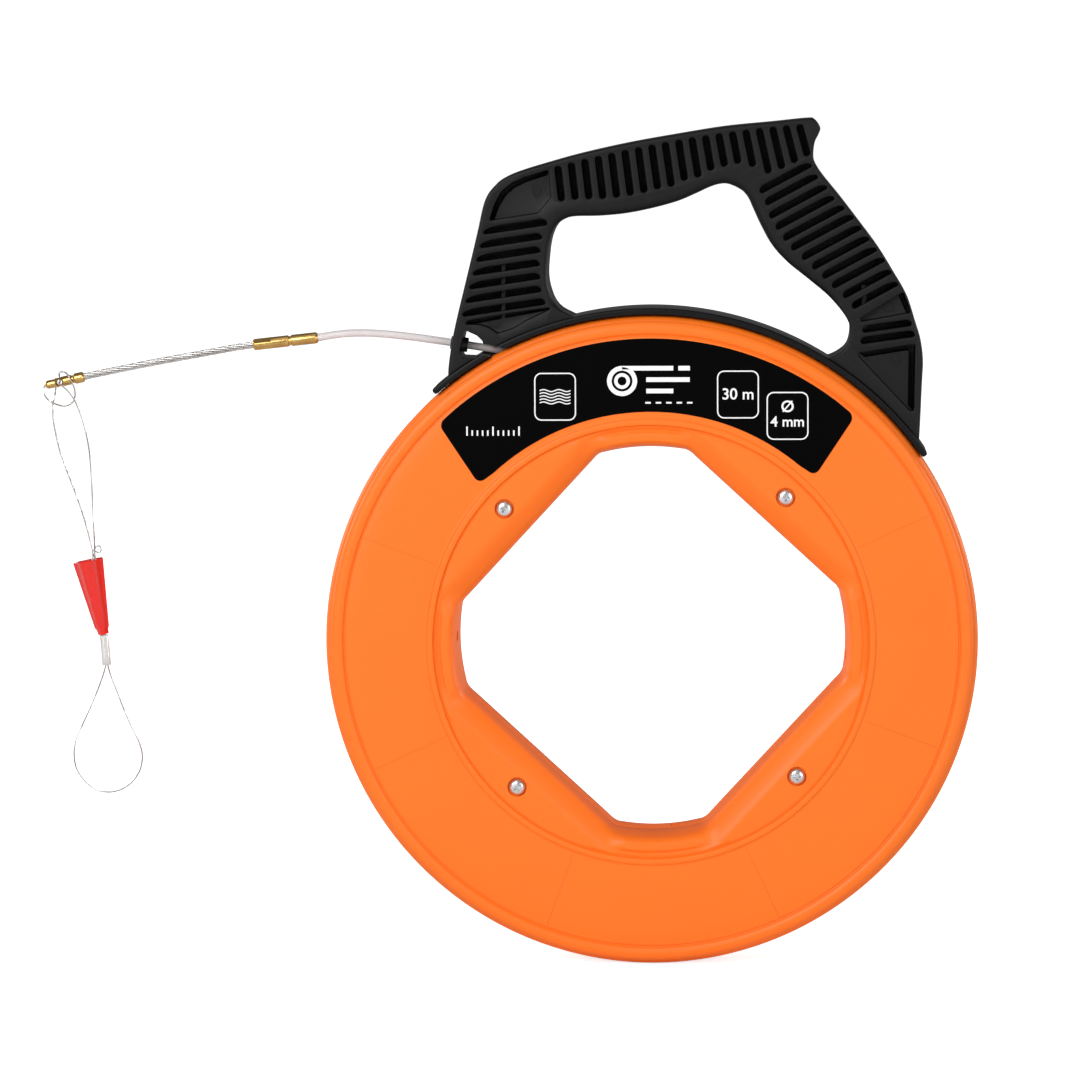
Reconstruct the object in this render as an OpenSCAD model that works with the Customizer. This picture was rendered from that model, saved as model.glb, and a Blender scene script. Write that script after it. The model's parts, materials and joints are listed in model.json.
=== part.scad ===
// Fish tape reel: a round two-part case that turns inside the band of its carrying handle,
// with a wound glass-fibre tape, a flexible leader and a pulling lanyard.
// Millimetres. Everything is drawn face on about the centre of the case, with the front
// towards +Z, then stood upright and moved so that the origin is in the middle of the grip.

/* [Case] */
// Outer radius of the case
case_r = 170; // [168:0.5:171]
// Depth of the case from front to back
case_depth = 46; // [44:1:50]
// Thickness of the case's walls
shell_wall = 2.5; // [2:0.25:3]
// Height of the rim's bead and of the ring over the flat face
bead_rise = 1; // [0.6:0.1:1.4]
// Width of the slot round the rim, for the tape and the handle's rail
rim_slot = 6; // [5.6:0.1:7]
// Radius of the ring on the face
ring_r = 115; // [113:0.5:116]

/* [Hub] */
// Radius of the hub opening's four arcs
hub_arc_r = 101; // [98:0.5:102]
// Distance from the centre to the hub opening's four flats
hub_flat_d = 86; // [80:0.5:88]
// Angle by which the case is turned in the handle
case_turn = 2.3; // [0:0.1:10]
// Radius of the circle of case screws
screw_circle_r = 103.3; // [102.5:0.1:104]

/* [Label] */
// Inner and outer radius of the label
label_r_in = 120.5; // [118:0.5:124]
label_r_out = 158.5; // [150:0.5:158.5]

/* [Handle] */
// Depth of the handle from front to back
handle_depth = 34; // [30:1:38]
// Thickness of the web in the middle of the handle
handle_web = 3; // [2:0.5:4]
// Width of the handle's slots
slot_w = 3.4; // [3:0.1:3.8]
// Thickness of the band over the rim
band_t = 3.5; // [3:0.1:4]
// Depth of the band from front to back
band_depth = 39; // [36:1:42]

/* [Tape] */
// Diameter of the tape
tape_d = 4; // [3:0.5:4]
// Radius at which the tape leaves its coil
tape_leave_r = 137.5; // [137:0.5:140]
// Direction from the centre to the point where the tape leaves its coil
tape_leave_angle = 81.2; // [80.5:0.1:82]

/* [Leader and lanyard] */
// Diameter of the steel leader
leader_d = 3.6; // [3:0.1:4]
// Diameter of the lanyard's wire
wire_d = 0.9; // [0.7:0.1:1]
// Diameter of the brass connectors
connector_d = 6; // [5.6:0.1:6.6]

/* [Hidden] */
$fn = 96;

eps = 0.01;
grip = [5, 245];                       // middle of the grip bar, from the centre of the case
half_depth = case_depth / 2;
face_z = half_depth - bead_rise;       // the flat face
inner_z = face_z - shell_wall;         // inside of the face
rim_wall = 3.5;
rim_in_r = case_r - rim_wall;
drum_r = ring_r + 1.5;                 // outside of the drum that the tape is wound on
drum_wall = 3;
hub_wall = 2.5;
flare_z = 14;                          // where the front of the hub wall starts to flare
flare_flat = 10.5;                     // how far the flats flare, and the arcs
flare_arc = 5.5;
boss_r = 5;
screw_r = 2;
screw_head_r = 4.1;
recess_r = 5;
recess_deep = 1.2;

gap = 0.5;                             // running gap between band and rim
band_in_r = case_r + gap;
band_out_r = band_in_r + band_t;
band_from = 34.3;
band_to = 130.8;
rail_from = 38;
rail_to = 127;
rail_neck = rim_slot - 0.6;
rail_flange = 16;

tape_dir = [-sin(tape_leave_angle), cos(tape_leave_angle)];
tape_leave = tape_leave_r * [cos(tape_leave_angle), sin(tape_leave_angle)];
exit_x = -103;                         // where the tape comes out of the handle's foot
lead_l = (tape_leave[0] - exit_x) / sin(tape_leave_angle);
tape_bore_r = tape_d / 2 + 0.5;

// Route of the free tape, from the handle's exit to its connector
tape_route = [[-103, 155.1, 0], [-113, 156.6, 0], [-123, 158, 0], [-134, 159.3, 0],
              [-145, 160.2, 0], [-156, 160.3, 0], [-165, 159.5, 0], [-174, 158, 0]];
// Route of the steel leader, from its connector to the tip
leader_route = [[-208, 154.3, 0], [-218, 152.8, 0], [-228, 151, 0], [-238, 149.2, 0],
                [-248, 147.4, 0], [-258, 145.6, 0], [-268, 143.7, 0], [-278, 141.7, 0],
                [-288, 139.7, 0], [-297, 137.8, 0]];
// Route of the lanyard: up from the ferrule, through the eye, once round the tip, down again
lanyard_route = [[-288.1, 1.4, 0], [-290.5, 22, 0], [-292.8, 43, 0], [-293.1, 52, 0.2],
                 [-293.5, 64, 0.5], [-293.9, 78.5, 0.9], [-294.4, 92, 1.3], [-295.7, 104, 1.9],
                 [-298.4, 116, 2.7], [-302, 125.5, 3.4], [-305.5, 130.5, 3.8],
                 [-308.2, 133, 3.9], [-309.6, 134.2, 3.4], [-310.3, 134.8, 2],
                 [-310.3, 134.8, -1.8], [-310.5, 135.4, -3.2], [-310.8, 136.8, -3.9],
                 [-311, 138.6, -3.6], [-310.4, 139.9, -2.4], [-308.9, 140.4, -0.4],
                 [-307, 140, 1.6], [-305.2, 138.7, 3.1], [-303.8, 136.4, 3.9],
                 [-302.6, 133.6, 4], [-301.9, 130.8, 3.2], [-302.1, 127.7, 1.3],
                 [-303.3, 124.8, -0.4], [-305.8, 122.7, -1.4], [-308.9, 122.2, -1.7],
                 [-312.6, 123.2, -1.7], [-316.2, 125.1, -2], [-318.5, 127.5, -2.6],
                 [-319.2, 130.5, -3.3], [-318.4, 133.2, -3.8], [-316.3, 135, -4],
                 [-313.9, 134.7, -4], [-312.7, 132, -3.4], [-313.1, 128, -1.6],
                 [-313.8, 123.6, 0.3], [-313.9, 118, 0.6], [-313.4, 112, 0.5], [-311, 100, 0.3],
                 [-307.6, 89.4, 0], [-303, 77, 0], [-298.4, 63, 0], [-295.1, 50, 0],
                 [-293.9, 43, 0], [-291.5, 22, 0], [-289.1, 1.4, 0]];
// Route of the lower loop, out of the ferrule and back into it
loop_route = [[-287, -14.6, 0], [-285.5, -20, 0], [-282.5, -28, 0], [-278.8, -38, 0],
              [-274.5, -48, 0], [-270.8, -56, 0], [-269.3, -63, 0], [-270.6, -70.5, 0],
              [-275, -77, 0], [-281, -81, 0], [-287.4, -82.3, 0], [-294, -81, 0],
              [-300, -76.5, 0], [-304.2, -70, 0], [-305.5, -62.5, 0], [-304.4, -55, 0],
              [-300.6, -46, 0], [-296.2, -36.5, 0], [-292.5, -28, 0], [-289.5, -20, 0],
              [-288, -14.6, 0]];

connector_start = tape_route[len(tape_route) - 1];
connector_end = leader_route[0];
connector_joint = 0.43;                // share of the connector's length that is on the tape
tip_start = leader_route[len(leader_route) - 1];
tip_dir = [-0.977, -0.214, 0];
sleeve_l = 6;
tip_l = 21.5;
eye_at = 13.5;
eye_r = 1.4;

ferrule_top = [-288.6, 1.4, 0];
ferrule_foot = [-287.5, -14.6, 0];
cone_foot = [-288.9, 1.9, 0];
cone_top = [-296.3, 41, 0];
cone_r_top = 8.4;
cone_r_foot = 3.6;
cone_flutes = 7;
cone_wall = 1.1;
cone_hole_r = 1.9;

// Outline of the handle, clockwise from its left foot
handle_outline = [[-103, 132], [-105, 140], [-103.5, 153.5], [-101, 167], [-95.5, 190.5],
    [-90, 214], [-87, 228], [-84.5, 234.5], [-81, 239], [-76.5, 243], [-68.5, 246.5], [-54, 251],
    [-36, 256], [-13, 261.2], [9.5, 265.3], [38.5, 270], [64, 272.5], [82, 274.3], [86, 273.6],
    [88.8, 269.5], [87.8, 265.8], [85.8, 261.5], [85.1, 254.5], [86.3, 250], [90, 244],
    [99, 232.5], [109, 219], [119, 205], [127, 191.5], [133, 180.5], [137, 167.5], [139.8, 157.5],
    [141, 146.5], [140.5, 134.5], [139, 104.5], [137, 98]];
// Outline of the finger opening, clockwise from its left foot
finger_outline = [[-36, 168], [-41, 170.5], [-47, 174], [-51, 180], [-53.5, 190], [-53, 202],
    [-51.5, 211.5], [-48.5, 218], [-44, 221.5], [-38.5, 222.8], [-26.5, 223], [-13, 224.2],
    [0.5, 226.8], [14, 230.5], [23.5, 234.5], [30.5, 237.8], [36, 239.6], [41, 239.6],
    [47.5, 236.5], [51, 232.5], [53.5, 227], [57.5, 218], [63.5, 207], [71.5, 198], [82, 189.3],
    [92, 180.7], [99.5, 172], [103, 165.5], [103.3, 160], [101.8, 154.5], [98.5, 151],
    [93, 148], [86, 146]];

// Slots of the left leg, from the top down: length of each
leg_slots = [32, 31, 32, 33.5, 35.5, 38, 42];
leg_slot_top = [-86, 215.4];
leg_slot_step = [-1.82, -7.25];
leg_slot_angle = 8.5;
// Slots of the grip bar, from the left: length of each
bar_slots = [17.5, 18.5, 20, 21.5, 22.5, 23, 23, 22.5, 22.5, 20.5, 20, 17.5, 16.5, 16, 18.5, 23,
             21.5, 19, 16];
bar_slot_x = -48;
bar_slot_pitch = 6.9;
bar_slot_lean = 6;
// Slots of the right arm, from the top down: left end and length of each
arm_slots = [[57.6, 236.3, 29], [60.4, 230, 29.5], [62.5, 223, 32.5], [65.8, 217, 33],
             [69.7, 211.2, 34.5], [73.8, 206, 35], [79.3, 201, 33.5], [84.6, 196, 32],
             [89.8, 191, 30.5], [94.8, 186, 29.5], [100.4, 180.8, 27], [105, 175.2, 25.5]];
arm_slot_angle = 28.5;
// Two flatter slots under the arm's pocket: left end and length of each
foot_slots = [[110.5, 163, 24], [109.5, 157, 26.5]];
foot_slot_angle = 8;

shoulder_pocket = [[-83.5, 221], [-80.5, 229.5], [-77.5, 235.5], [-73, 240], [-66.5, 243.3],
                   [-53, 247], [-51.6, 232.6], [-57.5, 225]];
elbow_pocket = [[109, 169], [130.2, 181.5], [133.5, 171.5], [109.5, 167.5]];
// Angle, front or back, of the screws between band and handle
band_screw_angles = [46, 108];
band_screw_z = 11;

pocket_deep = 4;
// Channel over the tape: where it starts along the tape, its length and its width
channel_from = 96;
channel_l = 18;
channel_w = 6;

orange = [1, 0.5, 0.17];
black = [0.13, 0.13, 0.13];
brass = [0.8, 0.62, 0.3];
steel = [0.75, 0.76, 0.78];
clear_white = [0.92, 0.92, 0.9];
red = [0.85, 0.12, 0.08];

// ---- helpers ----

// Stands the drawing upright with its front towards -Y and the grip at the origin.
module upright() {
    translate([-grip[0], 0, -grip[1]]) rotate([90, 0, 0]) children();
}

function polar(r, a) = [r * cos(a), r * sin(a)];

// Points of an arc about a centre.
function arc_points(centre, r, from, to, steps) =
    [for (i = [0:steps]) centre + polar(r, from + (to - from) * i / steps)];

// One point of a smooth curve between b and c.
function curve_point(a, b, c, d, t) =
    0.5 * (2 * b + (c - a) * t + (2 * a - 5 * b + 4 * c - d) * t * t
           + (3 * b - a - 3 * c + d) * t * t * t);

// A smooth curve through the points of an open outline.
function smooth_curve(p, steps) =
    let (last = len(p) - 1)
    concat([for (i = [0:last - 1], s = [0:steps - 1])
            curve_point(p[max(i - 1, 0)], p[i], p[i + 1], p[min(i + 2, last)], s / steps)],
           [p[last]]);

function unit(v) = v / norm(v);

// Direction of a route at one of its points.
function route_dir(p, i) = unit(p[min(i + 1, len(p) - 1)] - p[max(i - 1, 0)]);

// The part of a that is square to direction t.
function square_to(a, t) = unit(a - (a * t) * t);

// A side direction for every point of a route, carried along without twist.
function route_sides(p) =
    [for (i = 0, s = square_to([0.1, 0.2, 1], route_dir(p, 0)); i < len(p);
          i = i + 1, s = i < len(p) ? square_to(s, route_dir(p, i)) : s) s];

// A closed skin over a stack of rings, each a list of as many points.
module skin(rings) {
    n = len(rings[0]);
    top = len(rings) - 1;
    walls = [for (i = [0:top - 1], k = [0:n - 1])
             let (a = i * n + k, b = i * n + (k + 1) % n)
             each [[a, a + n, b + n], [a, b + n, b]]];
    first = [for (k = [0:n - 1]) k];
    last = [for (k = [n - 1:-1:0]) top * n + k];
    polyhedron(points = [for (ring = rings) each ring], faces = concat([first], walls, [last]),
               convexity = 10);
}

// A round tube along a route.
module tube(p, r, n = 8) {
    sides = route_sides(p);
    skin([for (i = [0:len(p) - 1])
          let (s = sides[i], u = cross(route_dir(p, i), s))
          [for (k = [0:n - 1]) p[i] + r * (cos(360 * k / n) * s + sin(360 * k / n) * u)]]);
}

// Puts a shape drawn along +Z at a point, turned towards a direction in the drawing's plane.
module along(from, dir) {
    translate(from) rotate([0, 0, atan2(dir[1], dir[0])]) rotate([0, 90, 0]) children();
}

// A slot with round ends, from a point at an angle.
module slot_shape(from, angle, length) {
    translate(from) rotate(angle) {
        circle(d = slot_w, $fn = 24);
        translate([0, -slot_w / 2]) square([length, slot_w]);
        translate([length, 0]) circle(d = slot_w, $fn = 24);
    }
}

// ---- case ----

// Half section of a shell's ring: drum wall, face and double-beaded rim.
module shell_section() {
    outer_bead = arc_points([case_r - 5, half_depth - 9], 5, 0, 62, 8);
    inner_bead = arc_points([case_r - 6.5, half_depth - 4.5], 4.5, 36, 130, 12);
    root = asin(0.3 / (bead_rise + 0.3));
    ring_bead = arc_points([ring_r, face_z - 0.3], bead_rise + 0.3, root, 180 - root, 8);
    polygon(concat(
        [[drum_r - drum_wall, 0], [drum_r, 0], [drum_r, inner_z], [rim_in_r, inner_z],
         [rim_in_r, rim_slot / 2], [case_r, rim_slot / 2]],
        outer_bead, inner_bead,
        [[case_r - 10, face_z - 0.6], [case_r - 10.6, face_z]],
        ring_bead,
        [[drum_r - drum_wall, face_z]]));
}

// The square bar between the hub's four flats, widening towards the face.
module hub_square(grow, flared) {
    intersection_for (turn = [45, 135])
        rotate(turn) rotate([90, 0, 0]) linear_extrude(4 * hub_arc_r, center = true)
        hub_side(hub_flat_d + grow, flared ? flare_flat : 0);
}

// Outline of the hub seen from the side, from the seam to past the face.
module hub_side(width, flare) {
    top = face_z + 2;
    slope = (top - flare_z) / (face_z - flare_z);
    polygon([[-width, -eps], [width, -eps], [width + 0.5, flare_z],
             [width + 0.5 + flare * slope, top], [-width - 0.5 - flare * slope, top],
             [-width - 0.5, flare_z]]);
}

// The hub opening, or with grow the outside of its wall, from the seam to past the face.
module hub_space(grow, flared) {
    intersection() {
        hub_square(grow, flared);
        rotate_extrude() {
            top = face_z + 2;
            arc = hub_arc_r + grow;
            flare = flared ? flare_arc * (top - flare_z) / (face_z - flare_z) : 0;
            polygon([[0, -eps], [arc, -eps], [arc + 0.5, flare_z], [arc + 0.5 + flare, top],
                     [0, top]]);
        }
    }
}

// One shell with its open side at the seam.
module shell(flared) {
    difference() {
        union() {
            rotate_extrude($fn = 180) shell_section();
            difference() {
                union() {
                    translate([0, 0, inner_z]) cylinder(h = shell_wall, r = drum_r - 1);
                    intersection() {
                        hub_space(hub_wall, flared);
                        cylinder(h = face_z, r = drum_r - 1);
                    }
                }
                translate([0, 0, -1]) cylinder(h = 1, r = drum_r);
            }
            for (a = [45:90:315]) translate(polar(screw_circle_r, a))
                cylinder(h = face_z, r = boss_r);
        }
        hub_space(0, flared);
    }
}

// A latch window through the hub wall.
module latch_window(angle, z_mid) {
    rotate(angle) translate([hub_arc_r - 4, -2.5, z_mid - 2.5]) cube([8, 5, 5]);
}

module front_shell() {
    color(orange) upright() rotate(case_turn) difference() {
        shell(true);
        for (a = [45:90:315]) translate(polar(screw_circle_r, a)) {
            translate([0, 0, -1]) cylinder(h = case_depth, r = screw_r + 0.2);
            translate([0, 0, face_z - recess_deep]) cylinder(h = 5, r = recess_r);
        }
        latch_window(176.5, 9);
        latch_window(-6.5, 9);
    }
}

module rear_shell() {
    color(orange) upright() rotate(case_turn) mirror([0, 0, 1]) difference() {
        union() {
            shell(false);
            rotate_extrude($fn = 180)
                translate([ring_r - 1.5, face_z - 1]) square([3, bead_rise + 1]);
            anchor_post();
        }
        for (a = [45:90:315]) translate(polar(screw_circle_r, a))
            translate([0, 0, -1]) cylinder(h = 15, r = screw_r);
        latch_window(-85.5, 11);
        translate(concat(anchor_place, [0])) cylinder(h = inner_z - 4, r = anchor_screw_r);
    }
}

anchor_place = [-108.6, 0];
anchor_screw_r = 1.5;
anchor_post_top = 6;
anchor_clip_t = 1.5;

// Post that the tape's clip is screwed to.
module anchor_post() {
    translate(concat(anchor_place, [anchor_post_top]))
        cylinder(h = inner_z - anchor_post_top + 1, r = 3.8);
}

module case_screws() {
    color(steel) upright() rotate(case_turn) for (a = [45:90:315])
        translate(concat(polar(screw_circle_r, a), [face_z - recess_deep])) difference() {
            union() {
                translate([0, 0, -32]) cylinder(h = 32, r = screw_r, $fn = 48);
                pan_head(screw_head_r, 2.6);
            }
            rotate(a) cross_recess(4.4, 2.6);
        }
}

// Head of a pan-head screw, on its seat.
module pan_head(r, h) {
    rotate_extrude($fn = 48)
        polygon(concat([[0, 0], [r, 0]], arc_points([r - h * 0.72, h * 0.28], h * 0.72, 0, 90, 6),
                       [[0, h]]));
}

// Cross recess, cut down from the top of a head.
module cross_recess(length, head_h) {
    for (turn = [0, 90]) rotate(turn)
        translate([-length / 2, -0.45, head_h - 1.5]) cube([length, 0.9, 3]);
}

module front_label() {
    label_t = 0.3;
    mid = 91;
    half = 42.85;
    side = 56.5;                       // slant of the label's two ends
    edge = 45;
    right = polar(label_r_out, mid - half);
    left = polar(label_r_out, mid + half);
    color([0.02, 0.02, 0.02]) upright() translate([0, 0, face_z]) linear_extrude(label_t)
        difference() {
            intersection() {
                circle(r = label_r_out, $fn = 180);
                polygon([right - polar(edge, side), right + polar(edge, side),
                         left + polar(edge, 180 - side), left - polar(edge, 180 - side)]);
            }
            circle(r = label_r_in, $fn = 180);
        }
}

module tape_coil() {
    color(clear_white) upright() rotate_extrude($fn = 120)
        translate([drum_r + 1.5, 1.5 - inner_z]) square([17, 2 * inner_z - 3]);
}

module tape_anchor() {
    color(steel) upright() rotate(case_turn)
        translate(concat(anchor_place, [-anchor_post_top])) difference() {
            union() {
                cylinder(h = anchor_clip_t, r = 3.8, $fn = 48);
                translate([-4.8, -3, 0]) cube([4, 6, anchor_clip_t]);
            }
            translate([0, 0, -1]) cylinder(h = 4, r = anchor_screw_r + 0.1, $fn = 48);
        }
}

module anchor_screw() {
    color(steel) upright() rotate(case_turn)
        translate(concat(anchor_place, [anchor_clip_t - anchor_post_top])) difference() {
            union() {
                translate([0, 0, -10]) cylinder(h = 10, r = anchor_screw_r, $fn = 48);
                pan_head(2.9, 2);
            }
            cross_recess(3, 2);
        }
}

// ---- handle ----

// Height of the ends of the grip bar's slots along the bar.
function bar_line(x) = 260 + 0.195 * x - 0.00074 * x * x;

module handle_slots() {
    for (i = [0:len(leg_slots) - 1])
        slot_shape(leg_slot_top + i * leg_slot_step + [1, 0], leg_slot_angle, leg_slots[i] - 2);
    for (i = [0:len(bar_slots) - 1])
        let (x = bar_slot_x + i * bar_slot_pitch)
        slot_shape([x + 0.2, bar_line(x) - 1.2], bar_slot_lean - 90, bar_slots[i] - 2.4);
    for (s = arm_slots) slot_shape([s[0] + 1, s[1] + 0.5], arm_slot_angle, s[2] - 2.4);
    for (s = foot_slots) slot_shape([s[0] + 1, s[1]], foot_slot_angle, s[2] - 2);
}

// The pockets over the two feet, down to the rib along the band.
module foot_pockets() {
    difference() {
        union() {
            polygon([[-97.5, 166.5], [-52, 172.5], [-58, 160], [-98.5, 140]]);
            polygon([[107.5, 149.5], [136.3, 153.6], [136, 112], [120, 120]]);
        }
        circle(r = band_out_r + 3.5);
        polygon([[-104, 165], [-98.5, 167.5], [-100.5, 157], [-104, 150]]);
    }
}

// Opening across the foot through which the tape is seen.
module tape_window() {
    difference() {
        polygon([[-97, 162.5], [-88, 160.5], [-86, 153.5], [-88.5, 147], [-98, 147], [-99.8, 151]]);
        circle(r = band_out_r + 1.5);
    }
}

module handle() {
    half = handle_depth / 2;
    web = handle_web / 2;
    color(black) upright() difference() {
        linear_extrude(handle_depth, center = true) difference() {
            polygon(smooth_curve(handle_outline, 4));
            polygon(smooth_curve(finger_outline, 4));
            circle(r = band_out_r, $fn = 180);
            tape_window();
        }
        for (side = [0, 1]) mirror([0, 0, side]) {
            translate([0, 0, web]) linear_extrude(half) handle_slots();
            translate([0, 0, half - pocket_deep]) linear_extrude(half) {
                polygon(shoulder_pocket);
                polygon(elbow_pocket);
                difference() {
                    foot_pockets();
                    boss_shadows();
                }
            }
        }
        tape_hole(tape_bore_r);
        tape_channel();
        guide_seat(guide_out_r);
        band_screw_holes(1.5, 9);
    }
}

// Solid left standing in the foot pockets round the band's screws.
module boss_shadows() {
    for (a = band_screw_angles) rotate(a) translate([band_out_r, -4]) square([9, 8]);
}

// Straight hole along the line of the tape.
module tape_hole(r) {
    along([tape_leave[0], tape_leave[1], 0] + 60 * concat(tape_dir, [0]), tape_dir)
        cylinder(h = 80, r = r, $fn = 48);
}

// Channel that leaves the tape open to the front between the window and the rim.
module tape_channel() {
    translate(tape_leave) rotate(atan2(tape_dir[1], tape_dir[0]))
        translate([channel_from, -channel_w / 2, 0])
        cube([channel_l, channel_w, handle_depth]);
}

guide_out_r = 3.8;
guide_l = 9;

// Seat of the guide bush in the handle's outer wall.
module guide_seat(r) {
    exit = tape_leave + lead_l * tape_dir;
    start = exit - (guide_l - 1.5) * tape_dir;
    along([start[0], start[1], 0], tape_dir) cylinder(h = guide_l + 10, r = r, $fn = 48);
}

module tape_guide() {
    exit = tape_leave + lead_l * tape_dir;
    start = exit - (guide_l - 1.5) * tape_dir;
    color([0.2, 0.2, 0.2]) upright() along([start[0], start[1], 0], tape_dir)
        rotate_extrude($fn = 48) polygon([[tape_bore_r, 0], [guide_out_r, 0],
            [guide_out_r, guide_l - 0.8], [guide_out_r - 0.5, guide_l],
            [tape_bore_r + 0.6, guide_l], [tape_bore_r, guide_l - 0.6]]);
}

// A ring sector with its section given as a square in radius and depth.
module ring_sector(r_in, r_out, depth, from, to) {
    rotate(from) rotate_extrude(angle = to - from, $fn = 180)
        translate([r_in, -depth / 2]) square([r_out - r_in, depth]);
}

module rim_band() {
    color([0.08, 0.08, 0.08]) upright() difference() {
        union() {
            ring_sector(band_in_r, band_out_r, band_depth, band_from, band_to);
            ring_sector(rim_in_r - 2, band_in_r + 1, rail_neck, rail_from, rail_to);
            ring_sector(rim_in_r - 3.5, rim_in_r - 0.5, rail_flange, rail_from, rail_to);
        }
        tape_hole(tape_bore_r);
        tape_channel();
        band_screw_holes(1.7, 20);
        band_screw_sinks();
    }
}

// Holes for the band's screws: out from the rim, both sides of the rail.
module band_screw_holes(r, reach) {
    for (a = band_screw_angles, z = [-band_screw_z, band_screw_z])
        rotate(a) translate([band_in_r - 1, 0, z]) rotate([0, 90, 0])
        cylinder(h = reach + 1, r = r, $fn = 48);
}

module band_screw_sinks() {
    for (a = band_screw_angles, z = [-band_screw_z, band_screw_z])
        rotate(a) translate([band_in_r - 0.5, 0, z]) rotate([0, 90, 0])
        cylinder(h = 2.2, r1 = 3.7, r2 = 1.5, $fn = 48);
}

module band_screws() {
    color(steel) upright() for (a = band_screw_angles, z = [-band_screw_z, band_screw_z])
        rotate(a) translate([band_in_r + 0.2, 0, z]) rotate([0, 90, 0]) difference() {
            union() {
                cylinder(h = 1.5, r1 = 3, r2 = 1.5, $fn = 48);
                cylinder(h = 8.5, r = 1.5, $fn = 48);
            }
            for (turn = [0, 90]) rotate(turn) translate([-1.2, -0.35, -1]) cube([2.4, 0.7, 1.8]);
        }
}

// ---- tape and leader ----

module tape_lead() {
    color(clear_white) upright() along([tape_leave[0], tape_leave[1], 0], tape_dir)
        cylinder(h = lead_l, d = tape_d, $fn = 48);
}

module tape_rod() {
    color(clear_white) upright() tube(tape_route, tape_d / 2, 12);
}

connector_dir = unit(connector_end - connector_start);
connector_l = norm(connector_end - connector_start);

module rod_connector() {
    l = connector_l * connector_joint;
    r = connector_d / 2;
    color(brass) upright() along(connector_start, connector_dir) rotate_extrude($fn = 48)
        polygon(concat([[0, 0]], arc_points([r - 1, 1], 1, -90, 0, 4),
                       [[r, l - 1.2], [r - 0.5, l - 0.8], [r - 0.5, l], [0, l]]));
}

module leader_connector() {
    l = connector_l * (1 - connector_joint);
    r = connector_d / 2;
    start = connector_start + connector_l * connector_joint * connector_dir;
    color(brass) upright() along(start, connector_dir) difference() {
        rotate_extrude($fn = 48)
            polygon(concat([[0, 0], [r - 0.5, 0], [r - 0.5, 0.8], [r, 1.2]],
                           arc_points([r - 0.8, l - 0.8], 0.8, 0, 90, 4), [[0, l]]));
        for (side = [-1, 1]) translate([side * r, 0, l / 2 - 1])
            cube([1, 2 * r, 8], center = true);
    }
}

module leader_rope() {
    color(steel) upright() tube(leader_route, leader_d / 2, 8);
}

module tip_sleeve() {
    color(brass) upright() along(tip_start, tip_dir) rotate_extrude($fn = 48)
        polygon([[0, 0], [2.4, 0], [2.8, 0.4], [2.8, sleeve_l - 0.6], [2.4, sleeve_l],
                 [0, sleeve_l]]);
}

module eye_tip() {
    shoulder = eye_at + 2.4;
    color(brass) upright() along(tip_start, tip_dir) difference() {
        rotate_extrude($fn = 48)
            polygon(concat([[0, sleeve_l], [2.1, sleeve_l], [2.1, sleeve_l + 0.8],
                            [2.6, sleeve_l + 1.2], [2.6, shoulder - 0.5], [2.2, shoulder]],
                           arc_points([0, tip_l - 2.2], 2.2, 0, 90, 8)));
        translate([0, 0, eye_at]) rotate([0, 90, 0]) {
            cylinder(h = 8, r = eye_r, center = true, $fn = 48);
        }
        translate([0, 0, eye_at]) rotate([90, 0, 0]) {
            cylinder(h = 8, r = eye_r, center = true, $fn = 48);
            for (side = [0, 1]) mirror([0, 0, side]) translate([0, 0, 1.9])
                cylinder(h = 2, r1 = eye_r, r2 = eye_r + 2, $fn = 48);
        }
    }
}

// ---- lanyard ----

module lanyard_wire() {
    color(steel) upright() tube(lanyard_route, wire_d / 2);
}

module lanyard_loop() {
    color(steel) upright() tube(loop_route, wire_d / 2);
}

module crimp_ferrule() {
    l = norm(ferrule_foot - ferrule_top);
    color([0.8, 0.8, 0.8]) upright() along(ferrule_top, ferrule_foot - ferrule_top)
        linear_extrude(l) {
            for (side = [-1, 1]) translate([0, side * 1.1]) circle(r = 1.25, $fn = 48);
            square([1.9, 2.2], center = true);
        }
}

// Fluted ring of the cone: hollows between sharp ridges.
function flute_ring(r, z) =
    let (steps = 6)
    [for (k = [0:cone_flutes * steps - 1])
     concat(polar(r * (1 - 0.14 * abs(sin(180 * k / steps))), 360 * k / (cone_flutes * steps)),
            [z])];

module pull_cone() {
    l = norm(cone_top - cone_foot);
    nose = 4;
    color(red) upright() along(cone_foot, cone_top - cone_foot) difference() {
        skin([flute_ring(cone_hole_r + 0.9, 0), flute_ring(cone_r_foot + 0.4, nose),
              flute_ring(cone_r_top, l)]);
        rotate_extrude($fn = 48)
            polygon([[0, -1], [cone_hole_r, -1], [cone_hole_r, nose],
                     [cone_r_top * 0.86 - cone_wall, l + 1], [0, l + 1]]);
    }
}

front_shell();
rear_shell();
case_screws();
front_label();
tape_coil();
tape_anchor();
anchor_screw();
handle();
rim_band();
band_screws();
tape_guide();
tape_lead();
tape_rod();
rod_connector();
leader_connector();
leader_rope();
tip_sleeve();
eye_tip();
lanyard_wire();
crimp_ferrule();
lanyard_loop();
pull_cone();
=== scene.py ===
import json
import math

import bmesh
import bpy
from mathutils import Matrix, Vector


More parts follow.
